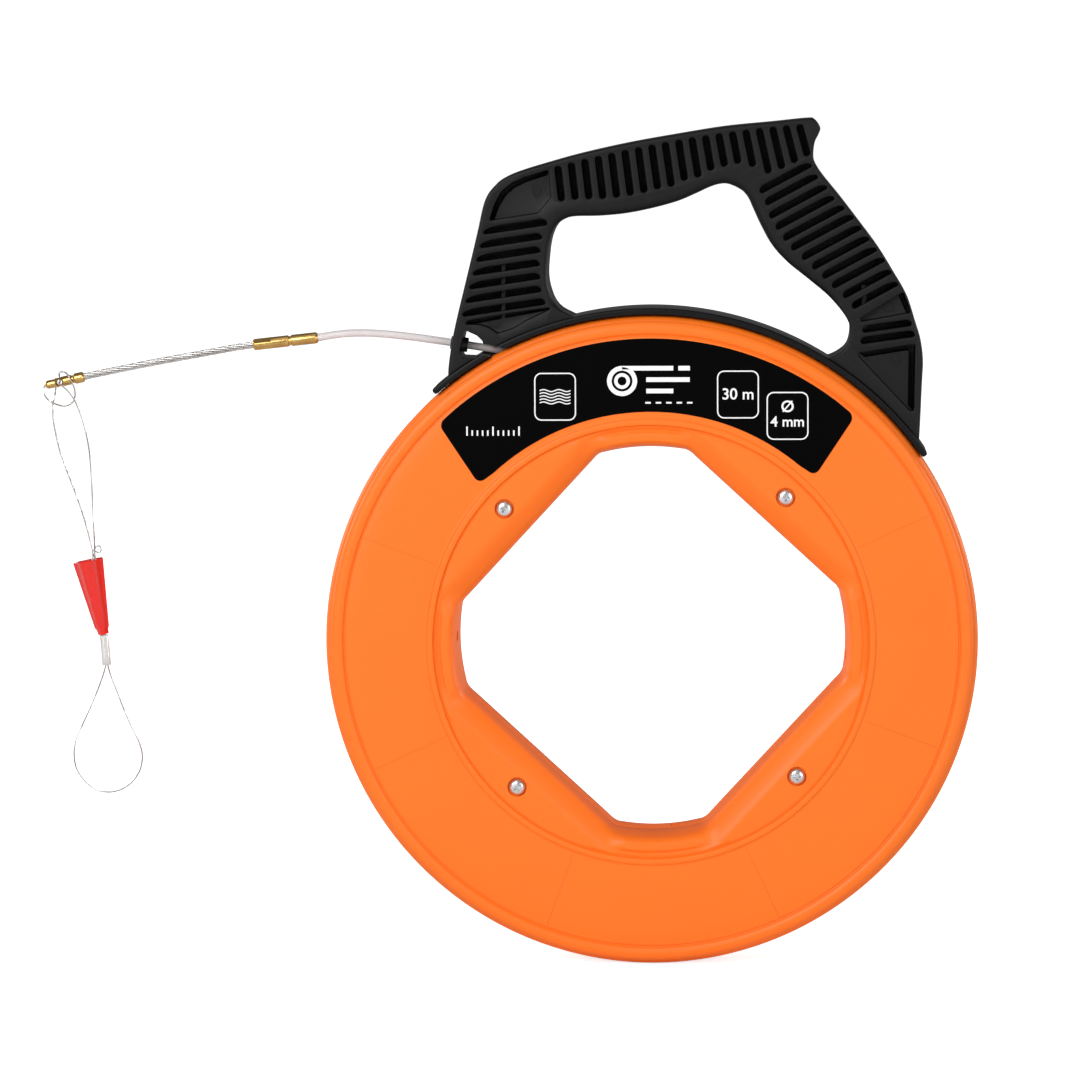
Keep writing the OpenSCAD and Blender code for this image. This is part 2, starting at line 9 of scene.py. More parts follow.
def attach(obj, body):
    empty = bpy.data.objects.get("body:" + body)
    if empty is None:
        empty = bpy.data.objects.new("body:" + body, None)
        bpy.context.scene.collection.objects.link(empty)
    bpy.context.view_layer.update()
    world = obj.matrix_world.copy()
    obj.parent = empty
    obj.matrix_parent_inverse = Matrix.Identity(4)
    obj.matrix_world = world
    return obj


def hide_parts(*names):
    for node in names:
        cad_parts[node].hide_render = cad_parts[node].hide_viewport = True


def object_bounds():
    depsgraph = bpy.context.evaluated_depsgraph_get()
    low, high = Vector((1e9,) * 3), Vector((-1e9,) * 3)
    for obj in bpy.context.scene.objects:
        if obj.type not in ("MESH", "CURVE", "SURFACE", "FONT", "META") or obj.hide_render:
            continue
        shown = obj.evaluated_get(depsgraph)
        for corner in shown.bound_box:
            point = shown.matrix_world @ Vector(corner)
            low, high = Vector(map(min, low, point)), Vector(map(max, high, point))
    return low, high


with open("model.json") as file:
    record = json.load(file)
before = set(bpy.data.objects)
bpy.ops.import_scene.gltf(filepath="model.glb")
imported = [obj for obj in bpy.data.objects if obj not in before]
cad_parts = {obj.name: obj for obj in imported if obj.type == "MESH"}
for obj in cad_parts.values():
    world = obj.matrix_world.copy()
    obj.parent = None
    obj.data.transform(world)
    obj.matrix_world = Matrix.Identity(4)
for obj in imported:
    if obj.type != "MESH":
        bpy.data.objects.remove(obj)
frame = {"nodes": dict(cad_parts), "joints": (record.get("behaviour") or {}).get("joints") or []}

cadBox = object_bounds()
scene = bpy.context.scene

# Pieces are drawn in millimetres, face on about the centre of the case, front towards +Z,
# then stood upright in the frame.
caseCentre = Vector(next(j for j in frame["joints"] if j["name"] == "case_spin")["pos_m"])
upright = (Matrix.Translation(caseCentre) @ Matrix.Rotation(math.radians(90), 4, "X")
           @ Matrix.Scale(0.001, 4))
caseLean = 2.3  # degrees that the case has turned in the handle
caseTurn = Matrix.Rotation(math.radians(caseLean), 4, "Z")


def polar(radius, angle, z=0.0):
    turn = math.radians(angle)
    return Vector((radius * math.cos(turn), radius * math.sin(turn), z))


def vectors(points):
    return [Vector((p[0], p[1], p[2] if len(p) > 2 else 0.0)) for p in points]


def newObject(name, data):
    obj = bpy.data.objects.new(name, data)
    scene.collection.objects.link(obj)
    return obj


def finalMesh(obj):
    # the shape as its modifiers and curve settings leave it
    bpy.context.view_layer.update()
    return bpy.data.meshes.new_from_object(obj.evaluated_get(bpy.context.evaluated_depsgraph_get()))


def smoothCurve(points, steps):
    # a smooth curve through all the points
    points = vectors(points)
    last = len(points) - 1
    made = []
    for i in range(last):
        a, b = points[max(i - 1, 0)], points[i]
        c, d = points[i + 1], points[min(i + 2, last)]
        for s in range(steps):
            t = s / steps
            made.append(0.5 * (2 * b + (c - a) * t + (2 * a - 5 * b + 4 * c - d) * t * t
                               + (3 * b - a - 3 * c + d) * t * t * t))
    made.append(points[last].copy())
    return made


def roundedPath(corners, steps=5, closed=True):
    # corners are (x, y, radius)
    made = []
    count = len(corners)
    for i, (x, y, radius) in enumerate(corners):
        here = Vector((x, y))
        if radius <= 0 or (not closed and i in (0, count - 1)):
            made.append(here)
            continue
        before = Vector(corners[i - 1][:2]) - here
        after = Vector(corners[(i + 1) % count][:2]) - here
        half = before.angle(after) / 2
        run = min(radius / math.tan(half), before.length * 0.49, after.length * 0.49)
        radius = run * math.tan(half)
        before.normalize()
        after.normalize()
        centre = here + (before + after).normalized() * radius / math.sin(half)
        start = here + before * run - centre
        end = here + after * run - centre
        sweep = start.angle_signed(end)
        for s in range(steps + 1):
            made.append(centre + Matrix.Rotation(-sweep * s / steps, 2) @ start)
    return made


def arcPath(cx, cy, radius, start, end, steps):
    return [Vector((cx, cy)) + polar(radius, start + (end - start) * s / steps).to_2d()
            for s in range(steps + 1)]


def alongLine(start, direction):
    # turns +Z towards a direction, with its X in the drawing's plane
    z = Vector(direction).normalized()
    y = Vector((0, 0, 1))
    x = y.cross(z).normalized()
    y = z.cross(x)
    turn = Matrix((x, y, z)).transposed().to_4x4()
    return Matrix.Translation(Vector(start)) @ turn


def mergeInto(bm, part, place=None):
    # adds a finished part to a shape; each part is made on its own, which keeps it quick
    mesh = bpy.data.meshes.new("part")
    part.to_mesh(mesh)
    part.free()
    if place is not None:
        mesh.transform(place)
    bm.from_mesh(mesh)
    bpy.data.meshes.remove(mesh)


def addLoft(bm, rings, joined=False):
    # extrudes a circle ring by ring and moves each ring into its place
    part = bmesh.new()
    order = part.verts.layers.int.new("order")
    first = bmesh.ops.create_circle(part, segments=len(rings[0]), radius=1.0)["verts"]
    for i, v in enumerate(first):
        v[order] = i
        v.co = rings[0][i]
    edges = firstEdges = part.edges[:]
    for ring in rings[1:]:
        grown = bmesh.ops.extrude_edge_only(part, edges=edges)["geom"]
        edges = [g for g in grown if isinstance(g, bmesh.types.BMEdge) and g.is_boundary]
        ringVerts = [g for g in grown if isinstance(g, bmesh.types.BMVert)]
        for v in ringVerts:
            v.co = ring[v[order]]
    if joined:
        bmesh.ops.remove_doubles(part, verts=list(first) + ringVerts, dist=1e-5)
    else:
        bmesh.ops.contextual_create(part, geom=firstEdges)
        bmesh.ops.contextual_create(part, geom=edges)
    bmesh.ops.recalc_face_normals(part, faces=part.faces)
    mergeInto(bm, part)


def addTurned(bm, profile, place=None, steps=64, closed=False):
    # spins a half section (radius, height) about Z and puts it in place
    part = bmesh.new()
    line = [part.verts.new((p[0], 0, p[1])) for p in profile]
    edges = [part.edges.new(pair) for pair in zip(line, line[1:])]
    if closed:
        edges.append(part.edges.new((line[-1], line[0])))
    bmesh.ops.spin(part, geom=line + edges, cent=(0, 0, 0), axis=(0, 0, 1),
                   angle=2 * math.pi, steps=steps, use_merge=True, use_duplicate=False)
    bmesh.ops.remove_doubles(part, verts=part.verts, dist=1e-4)
    bmesh.ops.recalc_face_normals(part, faces=part.faces)
    mergeInto(bm, part, place)


def addBox(bm, low, high, place=None, bevel=0.0, narrow=1.0):
    # a box with soft edges, its foot narrower if asked
    part = bmesh.new()
    size = [b - a for a, b in zip(low, high)]
    middle = [(a + b) / 2 for a, b in zip(low, high)]
    bmesh.ops.create_cube(part, size=1, matrix=Matrix.Translation(middle) @ Matrix.Diagonal((*size, 1)))
    for v in part.verts:
        if v.co.z < middle[2]:
            v.co.x *= narrow
    if bevel:
        bmesh.ops.bevel(part, geom=part.edges[:], offset=bevel, segments=2, affect="EDGES",
                        profile=0.5, material=-1)
    mergeInto(bm, part, place)


def combine(bm, tool, operation="DIFFERENCE"):
    # cuts a tool out of a shape, or joins it on, and returns the new shape
    made = []
    for shape in (bm, tool):
        bmesh.ops.triangulate(shape, faces=[f for f in shape.faces if len(f.verts) > 4])
        bmesh.ops.recalc_face_normals(shape, faces=shape.faces)
        mesh = bpy.data.meshes.new("shape")
        shape.to_mesh(mesh)
        shape.free()
        made.append(newObject("shape", mesh))
    cut = made[0].modifiers.new("cut", "BOOLEAN")
    cut.operation = operation
    cut.solver = "MANIFOLD"
    cut.object = made[1]
    mesh = finalMesh(made[0])
    result = bmesh.new()
    result.from_mesh(mesh)
    for obj in made:
        used = obj.data
        bpy.data.objects.remove(obj)
        bpy.data.meshes.remove(used)
    bpy.data.meshes.remove(mesh)
    return result


def finishPiece(bm, name, body, finish, stands=(), sharp=32, place=None):
    if place is not None:
        bmesh.ops.transform(bm, matrix=place, verts=bm.verts)
    bmesh.ops.recalc_face_normals(bm, faces=bm.faces)
    mesh = bpy.data.meshes.new(name)
    bm.to_mesh(mesh)
    bm.free()
    mesh.transform(upright)
    mesh.shade_smooth()
    mesh.set_sharp_from_angle(angle=math.radians(sharp))
    mesh.materials.append(materials[finish])
    obj = newObject(name, mesh)
    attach(obj, body)
    if stands:
        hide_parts(*stands)
    print("made", name, len(mesh.polygons), "faces")
    return obj


def newGroup(name, inputs):
    # each input has its usual value: a colour, a number, or none for a place
    group = bpy.data.node_groups.new(name, "ShaderNodeTree")
    kinds = {tuple: "NodeSocketColor", float: "NodeSocketFloat", type(None): "NodeSocketVector"}
    for label, value in inputs.items():
        socket = group.interface.new_socket(label, in_out="INPUT", socket_type=kinds[type(value)])
        if value is not None:
            socket.default_value = value
    for label, kind in (("Color", "Color"), ("Roughness", "Float"), ("Height", "Float")):
        group.interface.new_socket(label, in_out="OUTPUT", socket_type="NodeSocket" + kind)
    return group, group.nodes.new("NodeGroupInput"), group.nodes.new("NodeGroupOutput")


def node(tree, kind, given, output=0, **settings):
    # given holds each socket's value, or the output that feeds it
    made = tree.nodes.new("ShaderNode" + kind)
    for key, value in settings.items():
        setattr(made, key, value)
    for key, value in given.items():
        if isinstance(value, bpy.types.NodeSocket):
            tree.links.new(value, made.inputs[key])
        else:
            made.inputs[key].default_value = value
    return made.outputs[output]


def maths(tree, operation, *given):
    return node(tree, "Math", dict(enumerate(given)), operation=operation)


def mixColours(tree, share, first, second):
    # a mix node keeps its share in socket 0 and its colours in 6 and 7
    return node(tree, "Mix", {0: share, 6: first, 7: second}, 2, data_type="RGBA")


def noise(tree, vector, scale, detail, **more):
    return node(tree, "TexNoise", {"Vector": vector, "Scale": scale, "Detail": detail, **more})


def makeMouldedGroup():
    # moulded plastic: fine spark texture, slow cloudiness, thin scuffs
    group, given, result = newGroup("mouldedPlastic", {
        "Vector": None, "Base": (0.5, 0.5, 0.5, 1), "Shade": (0.4, 0.4, 0.4, 1), "Grain": 900.0,
        "Rough": 0.4, "Spread": 0.08})
    place = given.outputs["Vector"]
    clouds = noise(group, place, 14.0, 3.0)
    spark = noise(group, place, given.outputs["Grain"], 4.0, Roughness=0.6)
    scuffs = noise(group, place, 90.0, 6.0, Distortion=2.5)
    colour = mixColours(group, clouds, given.outputs["Base"], given.outputs["Shade"])
    rough = maths(group, "MULTIPLY_ADD", scuffs, given.outputs["Spread"], given.outputs["Rough"])
    for socket, output in (("Color", colour), ("Roughness", rough), ("Height", spark)):
        group.links.new(output, result.inputs[socket])
    return group


def makeTurnedGroup():
    # turned or drawn metal: fine rings along one direction, with tarnish
    group, given, result = newGroup("turnedMetal", {
        "Vector": None, "Base": (0.5, 0.5, 0.5, 1), "Tarnish": (0.4, 0.4, 0.4, 1), "Lines": 3000.0,
        "Rough": 0.25})
    place = given.outputs["Vector"]
    drawn = node(group, "VectorMath", {0: place, 1: (1.0, 0.06, 0.12)}, operation="MULTIPLY")
    lines = noise(group, drawn, given.outputs["Lines"], 2.0)
    spots = noise(group, place, 160.0, 5.0)
    share = node(group, "MapRange", {"Value": spots, "From Min": 0.35, "From Max": 0.75})
    colour = mixColours(group, share, given.outputs["Base"], given.outputs["Tarnish"])
    rough = maths(group, "MULTIPLY_ADD", spots, 0.18, given.outputs["Rough"])
    for socket, output in (("Color", colour), ("Roughness", rough), ("Height", lines)):
        group.links.new(output, result.inputs[socket])
    return group


materials = {}  # kept by name here, because the frame's own materials may have the same names


def newMaterial(name, constants):
    made = bpy.data.materials.new(name)
    made.use_nodes = True
    shader = made.node_tree.nodes["Principled BSDF"]
    for key, value in constants.items():
        shader.inputs[key].default_value = value
    materials[name] = made
    return made.node_tree, shader


def groupedMaterial(name, group, look):
    effect = {key: value for key, value in look.items() if key[0].isupper()}
    tree, shader = newMaterial(name, look["shader"])
    inner = tree.nodes.new("ShaderNodeGroup")
    inner.node_tree = group
    for key, value in effect.items():
        inner.inputs[key].default_value = (*value, 1) if isinstance(value, tuple) else value
    place = tree.nodes.new("ShaderNodeTexCoord")
    tree.links.new(place.outputs["Object"], inner.inputs["Vector"])
    tree.links.new(inner.outputs["Color"], shader.inputs["Base Color"])
    tree.links.new(inner.outputs["Roughness"], shader.inputs["Roughness"])
    strength, distance = look["bump"]
    relief = node(tree, "Bump", {"Strength": strength, "Distance": distance,
                                 "Height": inner.outputs["Height"]})
    tree.links.new(relief, shader.inputs["Normal"])


plastics = {
    "orangePlastic": {
        "Base": (0.98, 0.19, 0.011), "Shade": (0.95, 0.172, 0.009), "Grain": 1500.0, "Rough": 0.4,
        "Spread": 0.08, "bump": (0.12, 0.0002), "slot": "orange_plastic",
        "shader": {"IOR": 1.46, "Specular IOR Level": 0.4}},
    "handlePlastic": {
        "Base": (0.0035, 0.0035, 0.0037), "Shade": (0.0022, 0.0022, 0.0024), "Grain": 2200.0,
        "Rough": 0.42, "Spread": 0.1, "bump": (0.3, 0.0003), "slot": "black_plastic",
        "shader": {"IOR": 1.46, "Specular IOR Level": 0.27}},
    "bandPlastic": {
        "Base": (0.004, 0.004, 0.0045), "Shade": (0.0025, 0.0025, 0.003), "Grain": 1200.0,
        "Rough": 0.34, "Spread": 0.08, "bump": (0.1, 0.0002), "slot": "band_plastic",
        "shader": {"IOR": 1.45, "Specular IOR Level": 0.22}},
    "labelFilm": {
        "Base": (0.0006, 0.0006, 0.0007), "Shade": (0.0004, 0.0004, 0.0005), "Grain": 700.0,
        "Rough": 0.42, "Spread": 0.06, "bump": (0.06, 0.0001), "slot": "label_print",
        "shader": {"IOR": 1.4, "Specular IOR Level": 0.05}},
    "labelInk": {
        "Base": (0.93, 0.93, 0.93), "Shade": (0.86, 0.86, 0.87), "Grain": 2600.0, "Rough": 0.45,
        "Spread": 0.1, "bump": (0.1, 0.0001), "slot": "label_print",
        "shader": {"Specular IOR Level": 0.3}},
    "redPlastic": {
        "Base": (0.8, 0.014, 0.007), "Shade": (0.66, 0.01, 0.005), "Grain": 800.0, "Rough": 0.2,
        "Spread": 0.08, "bump": (0.06, 0.0002), "slot": "red_plastic",
        "shader": {"IOR": 1.5, "Coat Weight": 0.08, "Coat Roughness": 0.12}},
    # painted shade: the orange of the latch tongues darkened to dark red for the shadow they sit in
    "latchPaintedShade": {
        "Base": (0.2, 0.006, 0.003), "Shade": (0.14, 0.004, 0.002), "Grain": 900.0, "Rough": 0.6,
        "Spread": 0.1, "bump": (0.1, 0.0002), "slot": "orange_plastic",
        "shader": {"Specular IOR Level": 0.1}},
    "bushPlastic": {
        "Base": (0.03, 0.03, 0.032), "Shade": (0.02, 0.02, 0.021), "Grain": 900.0, "Rough": 0.3,
        "Spread": 0.1, "bump": (0.1, 0.0002), "shader": {"Specular IOR Level": 0.4}}}
metals = {
    "brass": {
        "Base": (0.72, 0.46, 0.16), "Tarnish": (0.5, 0.28, 0.08), "Lines": 3200.0, "Rough": 0.14,
        "bump": (0.25, 0.00006), "slot": "brass"},
    "wireSteel": {
        "Base": (0.68, 0.67, 0.66), "Tarnish": (0.46, 0.44, 0.42), "Lines": 5200.0, "Rough": 0.22,
        "bump": (0.3, 0.00005), "slot": "wire_steel"},
    "screwSteel": {
        "Base": (0.82, 0.83, 0.84), "Tarnish": (0.66, 0.67, 0.7), "Lines": 2600.0, "Rough": 0.18,
        "bump": (0.2, 0.00005), "slot": "screw_steel"},
    "ferruleMetal": {
        "Base": (0.86, 0.85, 0.84), "Tarnish": (0.74, 0.7, 0.68), "Lines": 1500.0, "Rough": 0.2,
        "bump": (0.3, 0.00008), "slot": "ferrule_metal"}}
glass = {"slot": "glass_fibre", "light": (0.76, 0.71, 0.71, 1), "dark": (0.62, 0.57, 0.57, 1),
         "drawn": (0.05, 1.0, 1.0), "strands": 2400.0, "bump": (0.15, 0.0001),
         "shader": {"Roughness": 0.32, "IOR": 1.5, "Subsurface Weight": 0.35,
                    "Subsurface Scale": 0.002, "Subsurface Radius": (1.0, 0.95, 0.9),
                    "Coat Weight": 0.25, "Coat Roughness": 0.2}}
joins = {"across": 8, "turned": caseLean, "from": 0.1185, "to": 0.1588, "width": 0.014, "strength": 0.6,
         "colour": (0.72, 0.11, 0.012, 1)}


def addRadialJoins(finish):
    # faint joins across the face, in the case's own frame
    tree = materials[finish].node_tree
    shader = tree.nodes["Principled BSDF"]
    place = tree.nodes.new("ShaderNodeTexCoord")
    centred = node(tree, "VectorMath", {0: place.outputs["Object"], 1: caseCentre},
                   operation="SUBTRACT")
    split = node(tree, "SeparateXYZ", {"Vector": centred}).node
    x, z = split.outputs["X"], split.outputs["Z"]
    flat = node(tree, "CombineXYZ", {"X": x, "Y": z})
    radius = node(tree, "VectorMath", {0: flat}, "Value", operation="LENGTH")
    angle = maths(tree, "ARCTAN2", z, x)
    half = joins["across"] / 2
    phase = math.radians(half * (-180 / joins["across"] - joins["turned"]))
    wave = maths(tree, "SINE", maths(tree, "MULTIPLY_ADD", angle, half, phase))
    line = node(tree, "MapRange", {"Value": maths(tree, "ABSOLUTE", wave), "From Max": joins["width"],
                                   "To Min": 1.0, "To Max": 0.0})
    inside = maths(tree, "GREATER_THAN", radius, joins["from"])
    outside = maths(tree, "LESS_THAN", radius, joins["to"])
    mask = maths(tree, "MULTIPLY", maths(tree, "MULTIPLY", inside, outside), line)
    colour = shader.inputs["Base Color"].links[0].from_socket
    darker = mixColours(tree, maths(tree, "MULTIPLY", mask, joins["strength"]), colour, joins["colour"])
    tree.links.new(darker, shader.inputs["Base Color"])


def makeGlassFibre():
    # pale jacket with glass strands just under the surface
    tree, shader = newMaterial("glassFibre", glass["shader"])
    place = tree.nodes.new("ShaderNodeTexCoord")
    drawn = node(tree, "VectorMath", {0: place.outputs["Object"], 1: glass["drawn"]},
                 operation="MULTIPLY")
    strands = noise(tree, drawn, glass["strands"], 3.0)
    strength, distance = glass["bump"]
    relief = node(tree, "Bump", {"Strength": strength, "Distance": distance, "Height": strands})
    colour = mixColours(tree, strands, glass["light"], glass["dark"])
    tree.links.new(colour, shader.inputs["Base Color"])
    tree.links.new(relief, shader.inputs["Normal"])


moulded = makeMouldedGroup()
turnedMetal = makeTurnedGroup()
for name, look in plastics.items():
    groupedMaterial(name, moulded, look)
for name, look in metals.items():
    groupedMaterial(name, turnedMetal, {**look, "shader": {"Metallic": 1.0}})
addRadialJoins("orangePlastic")
makeGlassFibre()
print("materials ready")


view = {"place": (0.0557, -2.572, 0.0692), "yaw": 2.652, "pitch": 5.824, "roll": -0.289,
        "lens": 164.67, "sensor": 36, "far": 50}


def makeCamera():
    yaw, pitch, roll = (math.radians(view[k]) for k in ("yaw", "pitch", "roll"))
    ahead = Vector((-math.sin(yaw) * math.cos(pitch), math.cos(yaw) * math.cos(pitch),
                    -math.sin(pitch)))
    right = ahead.cross(Vector((0, 0, 1))).normalized()
    up = right.cross(ahead)
    across = math.cos(roll) * right + math.sin(roll) * up
    above = math.cos(roll) * up - math.sin(roll) * right
    lens = bpy.data.cameras.new("camera")
    lens.lens = view["lens"]
    lens.sensor_width = view["sensor"]
    lens.clip_end = view["far"]
    camera = newObject("camera", lens)
    turn = Matrix((across, above, -ahead)).transposed().to_4x4()
    camera.matrix_world = Matrix.Translation(view["place"]) @ turn
    scene.camera = camera
    print("camera placed")


makeCamera()


# The routes are the CAD model's own, point for point.
tapeRoute = [(-103, 155.1, 0), (-113, 156.6, 0), (-123, 158, 0), (-134, 159.3, 0),
             (-145, 160.2, 0), (-156, 160.3, 0), (-165, 159.5, 0), (-174, 158, 0)]
leaderRoute = [(-208, 154.3, 0), (-218, 152.8, 0), (-228, 151, 0), (-238, 149.2, 0),
               (-248, 147.4, 0), (-258, 145.6, 0), (-268, 143.7, 0), (-278, 141.7, 0),
               (-288, 139.7, 0), (-297, 137.8, 0)]
lanyardRoute = [(-288.1, 1.4, 0), (-290.5, 22, 0), (-292.8, 43, 0), (-293.1, 52, 0.2),
                (-293.5, 64, 0.5), (-293.9, 78.5, 0.9), (-294.4, 92, 1.3), (-295.7, 104, 1.9),
                (-298.4, 116, 2.7), (-302, 125.5, 3.4), (-305.5, 130.5, 3.8),
                (-308.2, 133, 3.9), (-309.6, 134.2, 3.4), (-310.3, 134.8, 2),
                (-310.3, 134.8, -1.8), (-310.5, 135.4, -3.2), (-310.8, 136.8, -3.9),
                (-311, 138.6, -3.6), (-310.4, 139.9, -2.4), (-308.9, 140.4, -0.4),
                (-307, 140, 1.6), (-305.2, 138.7, 3.1), (-303.8, 136.4, 3.9),
                (-302.6, 133.6, 4), (-301.9, 130.8, 3.2), (-302.1, 127.7, 1.3),
                (-303.3, 124.8, -0.4), (-305.8, 122.7, -1.4), (-308.9, 122.2, -1.7),
                (-312.6, 123.2, -1.7), (-316.2, 125.1, -2), (-318.5, 127.5, -2.6),
                (-319.2, 130.5, -3.3), (-318.4, 133.2, -3.8), (-316.3, 135, -4),
                (-313.9, 134.7, -4), (-312.7, 132, -3.4), (-313.1, 128, -1.6),
                (-313.8, 123.6, 0.3), (-313.9, 118, 0.6), (-313.4, 112, 0.5), (-311, 100, 0.3),
                (-307.6, 89.4, 0), (-303, 77, 0), (-298.4, 63, 0), (-295.1, 50, 0),
                (-293.9, 43, 0), (-291.5, 22, 0), (-289.1, 1.4, 0)]
loopRoute = [(-287, -14.6, 0), (-285.5, -20, 0), (-282.5, -28, 0), (-278.8, -38, 0),
             (-274.5, -48, 0), (-270.8, -56, 0), (-269.3, -63, 0), (-270.6, -70.5, 0),
             (-275, -77, 0), (-281, -81, 0), (-287.4, -82.3, 0), (-294, -81, 0),
             (-300, -76.5, 0), (-304.2, -70, 0), (-305.5, -62.5, 0), (-304.4, -55, 0),
             (-300.6, -46, 0), (-296.2, -36.5, 0), (-292.5, -28, 0), (-289.5, -20, 0),
             (-288, -14.6, 0)]
tapeDiameter = 4.0
rope = {"diameter": 3.6, "strands": 6, "pitch": 29.0, "step": 0.9, "core": 1.02, "coreSides": 8,
        "outer": 0.99, "outerSides": 12, "sharp": 50}
lanyard = {"diameter": 0.9, "strands": 6, "pitch": 7.0, "step": 0.7, "core": 1.1, "coreSides": 6,
           "outer": 1.0, "outerSides": 5, "sharp": 60}
coneWall = {"flutes": 7, "steps": 10, "top": 8.4, "foot": 3.6, "nose": 4.0, "thick": 1.1, "hole": 1.9}


def routeLength(points):
    return sum((b - a).length for a, b in zip(points, points[1:]))


def evenRoute(points, step):
    # the same curve with its points a step apart
    curve = smoothCurve(points, 16)
    count = max(2, round(routeLength(curve) / step))
    gap = routeLength(curve) / count
    made = [curve[0]]
    left = gap
    for a, b in zip(curve, curve[1:]):
        run = (b - a).length
        done = 0.0
        while run - done >= left - 1e-9 and len(made) < count:
            done += left
            made.append(a.lerp(b, done / run))
            left = gap
        left -= run - done
    if len(made) == count:
        made.append(curve[-1])
    return made


def routeFrames(points):
    # a pair of side directions for every point, carried along without twist
    made = []
    side = Vector((0.1, 0.2, 1))
    for i in range(len(points)):
        ahead = (points[min(i + 1, len(points) - 1)] - points[max(i - 1, 0)]).normalized()
        side = (side - side.dot(ahead) * ahead).normalized()
        made.append((side.copy(), ahead.cross(side)))
    return made


def addStrand(bm, points, frames, radius, orbit, pitch, phase, sides):
    # one round strand that winds about the route at a distance of orbit
    rings, path = [], []
    run = 0.0
    for i, point in enumerate(points):
        if i:
            run += (point - points[i - 1]).length
        turn = phase + 2 * math.pi * run / pitch
        side, over = frames[i]
        path.append(point + orbit * (math.cos(turn) * side + math.sin(turn) * over))
    for (side, over), point in zip(routeFrames(path), path):
        rings.append([point + radius * (math.cos(2 * math.pi * k / sides) * side
                                        + math.sin(2 * math.pi * k / sides) * over)
                      for k in range(sides)])
    addLoft(bm, rings)


def makeTape():
    line = bpy.data.curves.new("tapeRod", "CURVE")
    line.dimensions = "3D"
    points = evenRoute(tapeRoute, 3.0)
    spline = line.splines.new("POLY")
    spline.points.add(len(points) - 1)
    for target, point in zip(spline.points, points):
        target.co = (*(upright @ point), 1)
    line.bevel_depth = tapeDiameter / 2000
    line.bevel_resolution = 6
    line.use_fill_caps = True
    line.materials.append(materials["glassFibre"])
    obj = newObject("tapeRod", line)
    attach(obj, "tape")
    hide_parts("tape_rod")
    return obj, routeLength(points) / 1000


def makeTwisted(name, route, body, size, standsFor):
    # a core strand with the others wound round it
    points = evenRoute(route, size["step"])
    frames = routeFrames(points)
    bm = bmesh.new()
    strand = size["diameter"] / 6
    orbit = size["diameter"] / 2 - strand
    addStrand(bm, points, frames, strand * size["core"], 0.0, size["pitch"], 0.0, size["coreSides"])
    for i in range(size["strands"]):
        addStrand(bm, points, frames, strand * size["outer"], orbit, size["pitch"],
                  2 * math.pi * i / size["strands"], size["outerSides"])
    return finishPiece(bm, name, body, "wireSteel", (standsFor,), size["sharp"]), points


connector = {"share": 0.43, "radius": 3.0, "sides": 64}
connectorStart = Vector(tapeRoute[-1])
connectorEnd = Vector(leaderRoute[0])
connectorLine = connectorEnd - connectorStart
tipStart = Vector(leaderRoute[-1])
tipLine = Vector((-0.977, -0.214, 0)).normalized()
tip = {"sleeve": 6.0, "length": 21.5, "eye": 13.5, "eyeRadius": 1.4}


def makeConnectors():
    radius = connector["radius"]
    length = connectorLine.length * connector["share"]
    bm = bmesh.new()
    profile = roundedPath([(0, 0, 0), (2.15, 0, 0.1), (2.3, 0.35, 0.1), (radius - 0.25, 0.45, 0.3),
                           (radius, 1.3, 0.5), (radius, length - 0.9, 0.2),
                           (radius - 0.55, length - 0.5, 0.1), (radius - 0.55, length, 0),
                           (0, length, 0)], 4, False)
    addTurned(bm, profile, alongLine(connectorStart, connectorLine), connector["sides"])
    rodEnd = finishPiece(bm, "rodConnector", "tape", "brass", ("rod_connector",), 28)

    start = connectorStart + connectorLine * connector["share"]
    length = connectorLine.length * (1 - connector["share"])
    bm = bmesh.new()
    profile = roundedPath([(0, 0, 0), (radius - 0.55, 0, 0), (radius - 0.55, 0.5, 0.1),
                           (radius, 0.9, 0.2), (radius, length - 0.7, 0.45),
                           (radius - 0.7, length, 0.3), (2.0, length, 0.1), (1.9, length - 0.4, 0),
                           (0, length - 0.4, 0)], 4, False)
    addTurned(bm, profile, None, connector["sides"])
    flats = bmesh.new()
    for turn in (0, 90, 180, 270):
        addBox(flats, (radius - 0.45, -5, length - 9.5), (radius + 2, 5, length + 1),
               Matrix.Rotation(math.radians(turn + 45), 4, "Z"), 0.1)
    bm = combine(bm, flats)
    leaderEnd = finishPiece(bm, "leaderConnector", "tape", "brass", ("leader_connector",), 28,
                            alongLine(start, connectorLine))
    return rodEnd, leaderEnd


